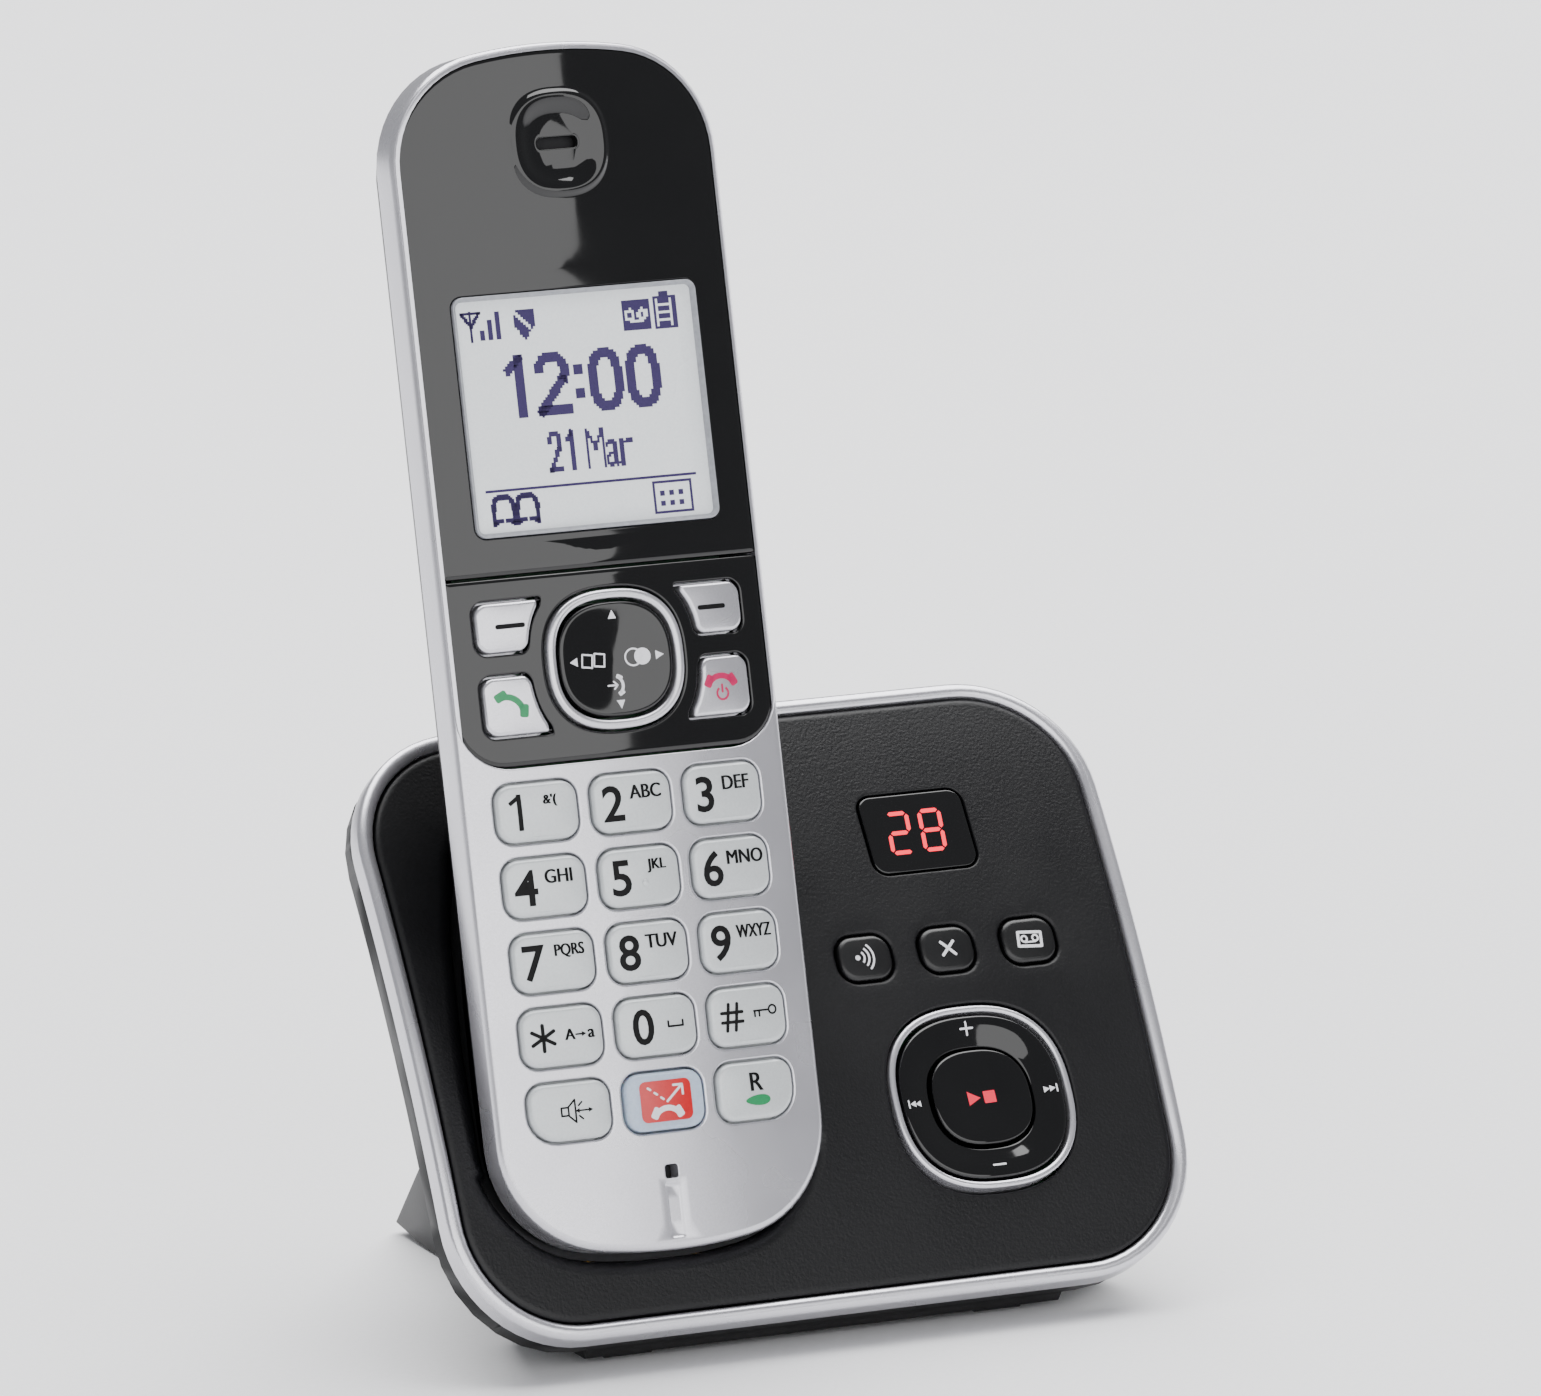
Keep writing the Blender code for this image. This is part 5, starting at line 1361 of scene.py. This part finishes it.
def makeCounterFigures():
    # seven-segment figures, each segment a slanted stroke with pointed ends
    x, z, _, _ = basePanel["window"]
    half = np.array((counter["width"], counter["height"])) / 2
    shapes = []
    for i, figure in enumerate(counter["text"]):
        right = (i - (len(counter["text"]) - 1) / 2) * (counter["width"] + counter["gap"])
        spot = np.array((x + counter["shift"] + right, z))
        for letter in litSegments[figure]:
            a, b = (spot + half * end for end in segmentEnds[letter])
            way = (b - a) / np.linalg.norm(b - a)
            a, b = a + way * counter["open"], b - way * counter["open"]
            side = np.array((-way[1], way[0])) * counter["stroke"] / 2
            inset = way * counter["stroke"] / 2
            loop = (a, a + inset - side, b - inset - side, b, b - inset + side, a + inset + side)
            shapes.append(outlineShape([p + ((p[1] - z) * counter["slant"], 0) for p in loop]))
    finished(printed("messageFigures", panelAt, panelPlain, shapes, ledRed), "base", "led_lens")


makeCounterFigures()

# the dial keys' marks: a figure at the left and its letters at the right
keyMarks = {f"key_{figure}": [("text", -3.0, 0, figure, 4.9, 0.016, 0.98),
                              ("text", right, 1.35, letters, tall, 0, squeeze)]
            for figure, letters, right, tall, squeeze in
            (("2", "ABC", 1.85, 1.9, 0.9), ("3", "DEF", 1.85, 1.9, 0.9), ("4", "GHI", 1.75, 1.9, 0.9),
             ("5", "JKL", 2.35, 1.9, 0.9), ("6", "MNO", 2.05, 1.9, 0.9), ("7", "PQRS", 2.15, 1.9, 0.8),
             ("8", "TUV", 1.85, 1.9, 0.9), ("9", "WXYZ", 2.15, 1.8, 0.68))}
keyMarks.update({
    "key_1": [("bar", -2.7, -2.05, 0, 4.3, 0.65, 0.1), ("bar", -2.75, 2.2, -1.1, -0.75, 0.55, 0.2),
              ("text", 1.7, 1.4, "&'(", 1.7, 0, 0.95)],
    "key_star": [("star", -2.9, 0, 1.75, 0.5), ("bar", 1.75, 0.1, 0.95, 0, 0.22), ("tip", 2.85, 0.1, 0.42, 0),
                 ("text", 0.9, 0.2, "A", 1.5, 0, 0.95), ("text", 4.0, 0.05, "a", 1.15, 0, 0.95)],
    "key_0": [("text", -2.2, 0, "0", 4.9, 0.016, 0.98), ("bar", 1.5, -0.25, 2.2, 0, 0.28),
              ("bar", 1.5, -0.25, 0, 0.7, 0.28), ("bar", 3.7, -0.25, 0, 0.7, 0.28)],
    "key_hash": [("bar", -3.5, -1.8, 0.5, 3.6, 0.45), ("bar", -2.2, -1.8, 0.5, 3.6, 0.45),
                 ("bar", -4.15, -0.65, 3.1, 0, 0.45), ("bar", -4.15, 0.65, 3.1, 0, 0.45),
                 ("hoop", 3.7, 0.55, 1.15, 1.15, 0.26), ("bar", 3.1, 0.55, -2.3, 0, 0.26),
                 ("bar", 0.9, 0.55, 0, -0.75, 0.26), ("bar", 1.6, 0.55, 0, -0.75, 0.26)],
    # a loudspeaker cone with its sound and an arrow both ways
    "key_speaker": [("bar", -1.5, -0.55, 0.95, 0, 0.24), ("bar", -0.55, -0.55, 1.05, -1.0, 0.24),
                    ("bar", 0.5, -1.55, 0, 3.1, 0.24), ("bar", 0.5, 1.55, -1.05, -1.0, 0.24),
                    ("bar", -0.55, 0.55, -0.95, 0, 0.24), ("bar", -1.5, 0.55, 0, -1.1, 0.24),
                    ("bar", -0.5, -0.5, 0, 1.0, 0.24), ("bar", 1.0, 0.7, 0.5, 0.45, 0.22),
                    ("bar", 1.0, -0.7, 0.5, -0.45, 0.22), ("bar", 0.9, 0, 1.7, 0, 0.22),
                    ("tip", 0.85, 0, 0.4, 180), ("tip", 2.65, 0, 0.4, 0)],
    "key_recall": [("text", 0, 1.2, "R", 2.5, 0, 0.95)]})
# the block key: a receiver under a dashed arrow, on a red field
blockMarks = [("phone", 0, -0.9, 4.2, 0, 0.75), ("bar", -2.6, 1.9, 0.35, -0.25, 0.3),
              ("bar", -1.7, 1.2, 0.35, -0.25, 0.3), ("bar", -0.8, 0.5, 0.35, -0.25, 0.3),
              ("bar", 0.1, -0.1, 2.4, 2.1, 0.32), ("bar", 2.5, 2.0, -1.3, 0, 0.32),
              ("bar", 2.5, 2.0, 0, -1.3, 0.32)]
tactile = inMm(right=0.45, down=0.9, width=1.0, proud=0.28)
leaf = dict(inMm(down=1.35, reach=1.9, rise=0.72), swell=0.25)


def makeTactileDot(x, z):
    # a raised dot to find the five key by touch
    x, z = x + tactile["right"], z - tactile["down"]

    def nub(px, pz):
        reach = np.hypot(px - x, pz - z) / (tactile["width"] / 2)
        return keyTops["key_5"](px, pz) - tactile["proud"] * np.sqrt(np.clip(1 - reach ** 2, 0, 1))
    loop = roundedBox(x, z, tactile["width"], tactile["width"], 0.499 * mm, 6)
    depth = faceDrop(x - tactile["right"]) - 0.4 * mm
    piece = plate("tactileDot", handsetAt, loop, [], nub, 0.05 * mm, [(0, depth)], [], 0, keyCoat,
                  (0.2 * mm, 0.2 * mm))
    finished(piece, "key_5", "key_grey")


def keyPrint(name, key, shapes, material, slot="key_grey", lift=ink["lift"]):
    finished(printed(name, handsetAt, keyTops[key], shapes, material, lift), key, slot)


def makeKeyPrints():
    places = {name: (x, z) for name, _, _, x, z in keyCentres()}
    for name, strokes in keyMarks.items():
        keyPrint(name.replace("key_", "legend_"), name, drawn(strokes, *places[name]), blackInk)
    makeTactileDot(*places["key_5"])
    # the recall key's green leaf
    x, z = places["key_recall"]
    turns = np.linspace(0, 2 * math.pi, 24, endpoint=False)
    loop = [(x + leaf["reach"] * math.cos(a), z - leaf["down"] + leaf["rise"] * math.sin(a)
             * (1 + leaf["swell"] * math.cos(a))) for a in turns]
    keyPrint("recallLeaf", "key_recall", [outlineShape(loop)], greenInk)
    field = drawn([("box", 0, 0, 7.6, 5.6, 0.9, 5)], *places["key_block"])
    keyPrint("blockField", "key_block", field, blockRed, "key_red")
    keyPrint("blockMark", "key_block", drawn(blockMarks, *places["key_block"]), whiteInk, "key_red",
             0.09 * mm)


makeKeyPrints()

# marks of the keys beside the ring, placed from the handset's middle line and the middle of the key's height
sideMarks = (("softDash_left", "soft_key_left", "softSpan", blackInk, [("bar", -16.8, 0.1, 3.6, 0, 0.65)]),
             ("softDash_right", "soft_key_right", "softSpan", blackInk, [("bar", 13.2, 0.1, 3.6, 0, 0.65)]),
             ("talkMark", "talk_key", "callSpan", greenInk, [("phone", -15.4, 0.9, 4.6, -35, 0.85)]),
             ("offMark", "off_key", "callSpan", magentaInk,
              [("phone", 15.2, 1.4, 4.4, 0, 0.8), ("hoop", 15.3, -1.1, 1.7, 1.7, 0.28, 2.0, 125, 415, 30),
               ("bar", 15.3, -0.9, 0, 0.95, 0.28)]))
for markName, keyName, spanName, finish, strokes in sideMarks:
    keyPrint(markName, keyName, drawn(strokes, 0, sum(navigation[spanName]) / 2), finish)

# the four-way pad: arrows, an open book, the redial rings, and a call going to the handset
padMarks = [("tip", 0, 5.9, 0.75, 90), ("tip", 0, -6.1, 0.75, -90), ("tip", -6.2, 0, 0.75, 180),
            ("tip", 6.3, 0, 0.75, 0), ("frame", -4.25, 0, 1.75, 1.9, 0.2, 0.24),
            ("frame", -2.35, 0, 1.75, 1.9, 0.2, 0.24), ("hoop", 2.7, 0, 2.3, 2.3, 0.24),
            ("box", 4.0, 0, 2.3, 2.3, 1.14, 8), ("bar", -1.5, -3.6, 1.4, 0, 0.24),
            ("bar", -0.1, -3.6, -0.5, 0.5, 0.24), ("bar", -0.1, -3.6, -0.5, -0.5, 0.24),
            ("phone", 0.75, -3.6, 2.6, -90, 0.42)]
pad = printed("navigatorMarks", handsetAt, navigatorTop, drawn(padMarks, 0, navigation["ring"]), whiteInk)
finished(pad, "navigator_key", "gloss_black")

# the base's buttons: a locating call, a cross to erase, and a tape for the answering side
baseMarks = {
    "locator_button": [("box", -1.25, 0, 0.75, 0.75, 0.37, 5)]
    + [("hoop", -1.25, 0, wide, wide, 0.3, 2.0, -48, 48, 14) for wide in (2.0, 3.4, 4.8)],
    "erase_button": [("bar", -0.95, 0.95, 1.9, -1.9, 0.42), ("bar", -0.95, -0.95, 1.9, 1.9, 0.42)],
    "answer_button": [("frame", 0, 0, 3.7, 2.3, 0.25, 0.42), ("hoop", -0.85, 0.1, 0.85, 0.85, 0.28),
                      ("hoop", 0.85, 0.1, 0.85, 0.85, 0.28), ("bar", -0.8, -0.42, 1.6, 0, 0.24)]}
# louder, softer, and a skip each way
dialMarks = [("bar", -0.9, 10, 1.8, 0, 0.28), ("bar", 0, 9.1, 0, 1.8, 0.28), ("bar", -0.9, -10, 1.8, 0, 0.28)]
for side in (-1, 1):
    dialMarks += [("tip", side * 9.75, 0, 0.55, 90 - side * 90),
                  ("tip", side * 10.6, 0, 0.55, 90 - side * 90),
                  ("bar", side * 11.35, -0.5, 0, 1.0, 0.22)]
playMarks = [("tip", -1.35, 0, 1.25, 0), ("box", 1.25, 0, 1.75, 1.75, 0.08)]


def makeBasePrints():
    rows = [(name.replace("_button", "Mark"), name, baseMarks[name], x, z, whiteInk) for name, x,
            z in baseButtons()]
    rows += [("dialMarks", "base_navigator_key", dialMarks, *basePanel["dial"], whiteInk),
             ("playStopMark", "play_stop_button", playMarks, *basePanel["dial"], roseInk)]
    for name, button, strokes, x, z, finish in rows:
        finished(printed(name, panelAt, keyTops[button], drawn(strokes, x, z), finish), button, "gloss_black")


makeBasePrints()
print("printing done")


# the back: moulded edges eased, a grip on the battery cover, and painted shade for the sound slots in the
# base
back = dict(inMm(ridgePitch=1.9, ridgeUp=84, slotPitch=2.6, slotDepths=(17, 20, 23), shoulder=14,
                 shoulderUp=11),
            ridges=6, slots=9, slope=10 / 12, hard=28)


def eased(name, node, riding, edge):
    # the same moulding with its hard edges rounded, as any tool leaves them
    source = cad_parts[node]
    shape = bmesh.new()
    shape.from_mesh(source.data)
    shape.transform(source.matrix_world)
    bmesh.ops.remove_doubles(shape, verts=shape.verts, dist=0.005 * mm)
    bmesh.ops.dissolve_limit(shape, angle_limit=math.radians(0.6), verts=shape.verts, edges=shape.edges)
    hard = [e for e in shape.edges if e.is_manifold and e.is_convex
            and e.calc_face_angle(0) > math.radians(back["hard"]) and e.calc_length() > 2.2 * edge]
    bmesh.ops.bevel(shape, geom=hard, offset=edge, offset_type="OFFSET", segments=3, profile=0.5,
                    affect="EDGES",
                    clamp_overlap=True)
    bmesh.ops.triangulate(shape, faces=shape.faces)
    mesh = bpy.data.meshes.new(name)
    shape.to_mesh(mesh)
    shape.free()
    for material in source.data.materials:
        mesh.materials.append(material)
    mesh.shade_smooth()
    mesh.set_sharp_from_angle(angle=math.radians(33))
    return finished(placed(name, mesh), riding, "dark_case", node)


for name, node, riding, edge in (("lowerHousing", "base_lower_case", "base", 0.5),
                                 ("standMoulding", "stand", "base", 0.7),
                                 ("handsetRear", "handset_rear_case", "handset", 0.15),
                                 ("batteryLid", "battery_cover", "battery_cover", 0.12)):
    eased(name, node, riding, edge * mm)


def backDetail(name, points, place, width, thickness, height, finish, riding):
    values = {"Width": width * mm, "Thickness": thickness * mm, "Height": height * mm, "Finish": finish}
    finished(repeated(name, dotMatrix, points, place, values), riding, "dark_case")


ridges = [(0, body["thickness"], back["ridgeUp"] + i * back["ridgePitch"]) for i in range(back["ridges"])]
backDetail("lidGrip", ridges, handsetAt, 15, 0.7, 0.75, rearBlack, "battery_cover")
# painted shade for the sound slots: dark matt blocks in three rows down the housing's sloping shoulder
slots = [((x - back["slots"] // 2) * back["slotPitch"], depth,
          base["height"] / 2 - back["shoulderUp"] - (depth - back["shoulder"]) * back["slope"])
         for depth in back["slotDepths"] for x in range(back["slots"])]
backDetail("soundSlotShade", slots, panelAt, 1.7, 0.7, 0.9, rubberAndOpeningShade, "base")
print("back made")


# the stage: a pale floor, soft cards, and a long lens from the front left
stage = {"floor": 7.0, "camera": (-0.6812, -1.4730, 0.4392), "aim": (0.0028, -0.01133, 0.0851), "lens": 280.3,
         "sensor": 36, "farthest": 40, "sky": "#E8EAEE", "skyStrength": 0.42}
# each card: degrees from straight ahead to the right, degrees up, distance, width and height in metres,
# radiance.
# The first card's right edge draws the straight boundary down the gloss, and to the right of it the studio
# is dark.
cards = {"leftCard": (-15.6, 19, 2.5, 4.0, 1.75, 2.6), "topCard": (150, 68, 2.6, 3.2, 3.2, 6.6),
         "rimCard": (118, 16, 2.4, 0.7, 1.6, 2.2)}


def facing(holder, place):
    # put at a place and turned to the middle of the phone
    holder.location = place
    holder.rotation_euler = (Vector(stage["aim"]) - Vector(place)).to_track_quat("-Z", "Y").to_euler()


def addCard(name, turn, rise, distance, width, height, radiance):
    turn, rise = math.radians(turn), math.radians(rise)
    way = Vector((math.sin(turn) * math.cos(rise), -math.cos(turn) * math.cos(rise), math.sin(rise)))
    light = bpy.data.lights.new(name, "AREA")
    light.shape = "RECTANGLE"
    light.size, light.size_y = width, height
    light.energy = radiance * math.pi * width * height
    facing(placed(name, light), Vector(stage["aim"]) + way * distance)


half = stage["floor"]
corners = [(-half, -half, 0), (half, -half, 0), (half, half, 0), (-half, half, 0)]
solidFrom("floor", corners, [(0, 1, 2, 3)], Matrix(), floorPaper)

world = bpy.data.worlds.new("studio")
bpy.context.scene.world = world
world.use_nodes = True
sky = world.node_tree.nodes["Background"].inputs
sky["Color"].default_value = linear(stage["sky"])
sky["Strength"].default_value = stage["skyStrength"]
for name, values in cards.items():
    addCard(name, *values)

cameraData = bpy.data.cameras.new("camera")
cameraData.lens = stage["lens"]
cameraData.sensor_width = stage["sensor"]
cameraData.clip_end = stage["farthest"]
camera = placed("camera", cameraData)
facing(camera, stage["camera"])
bpy.context.scene.camera = camera

print("stage set")
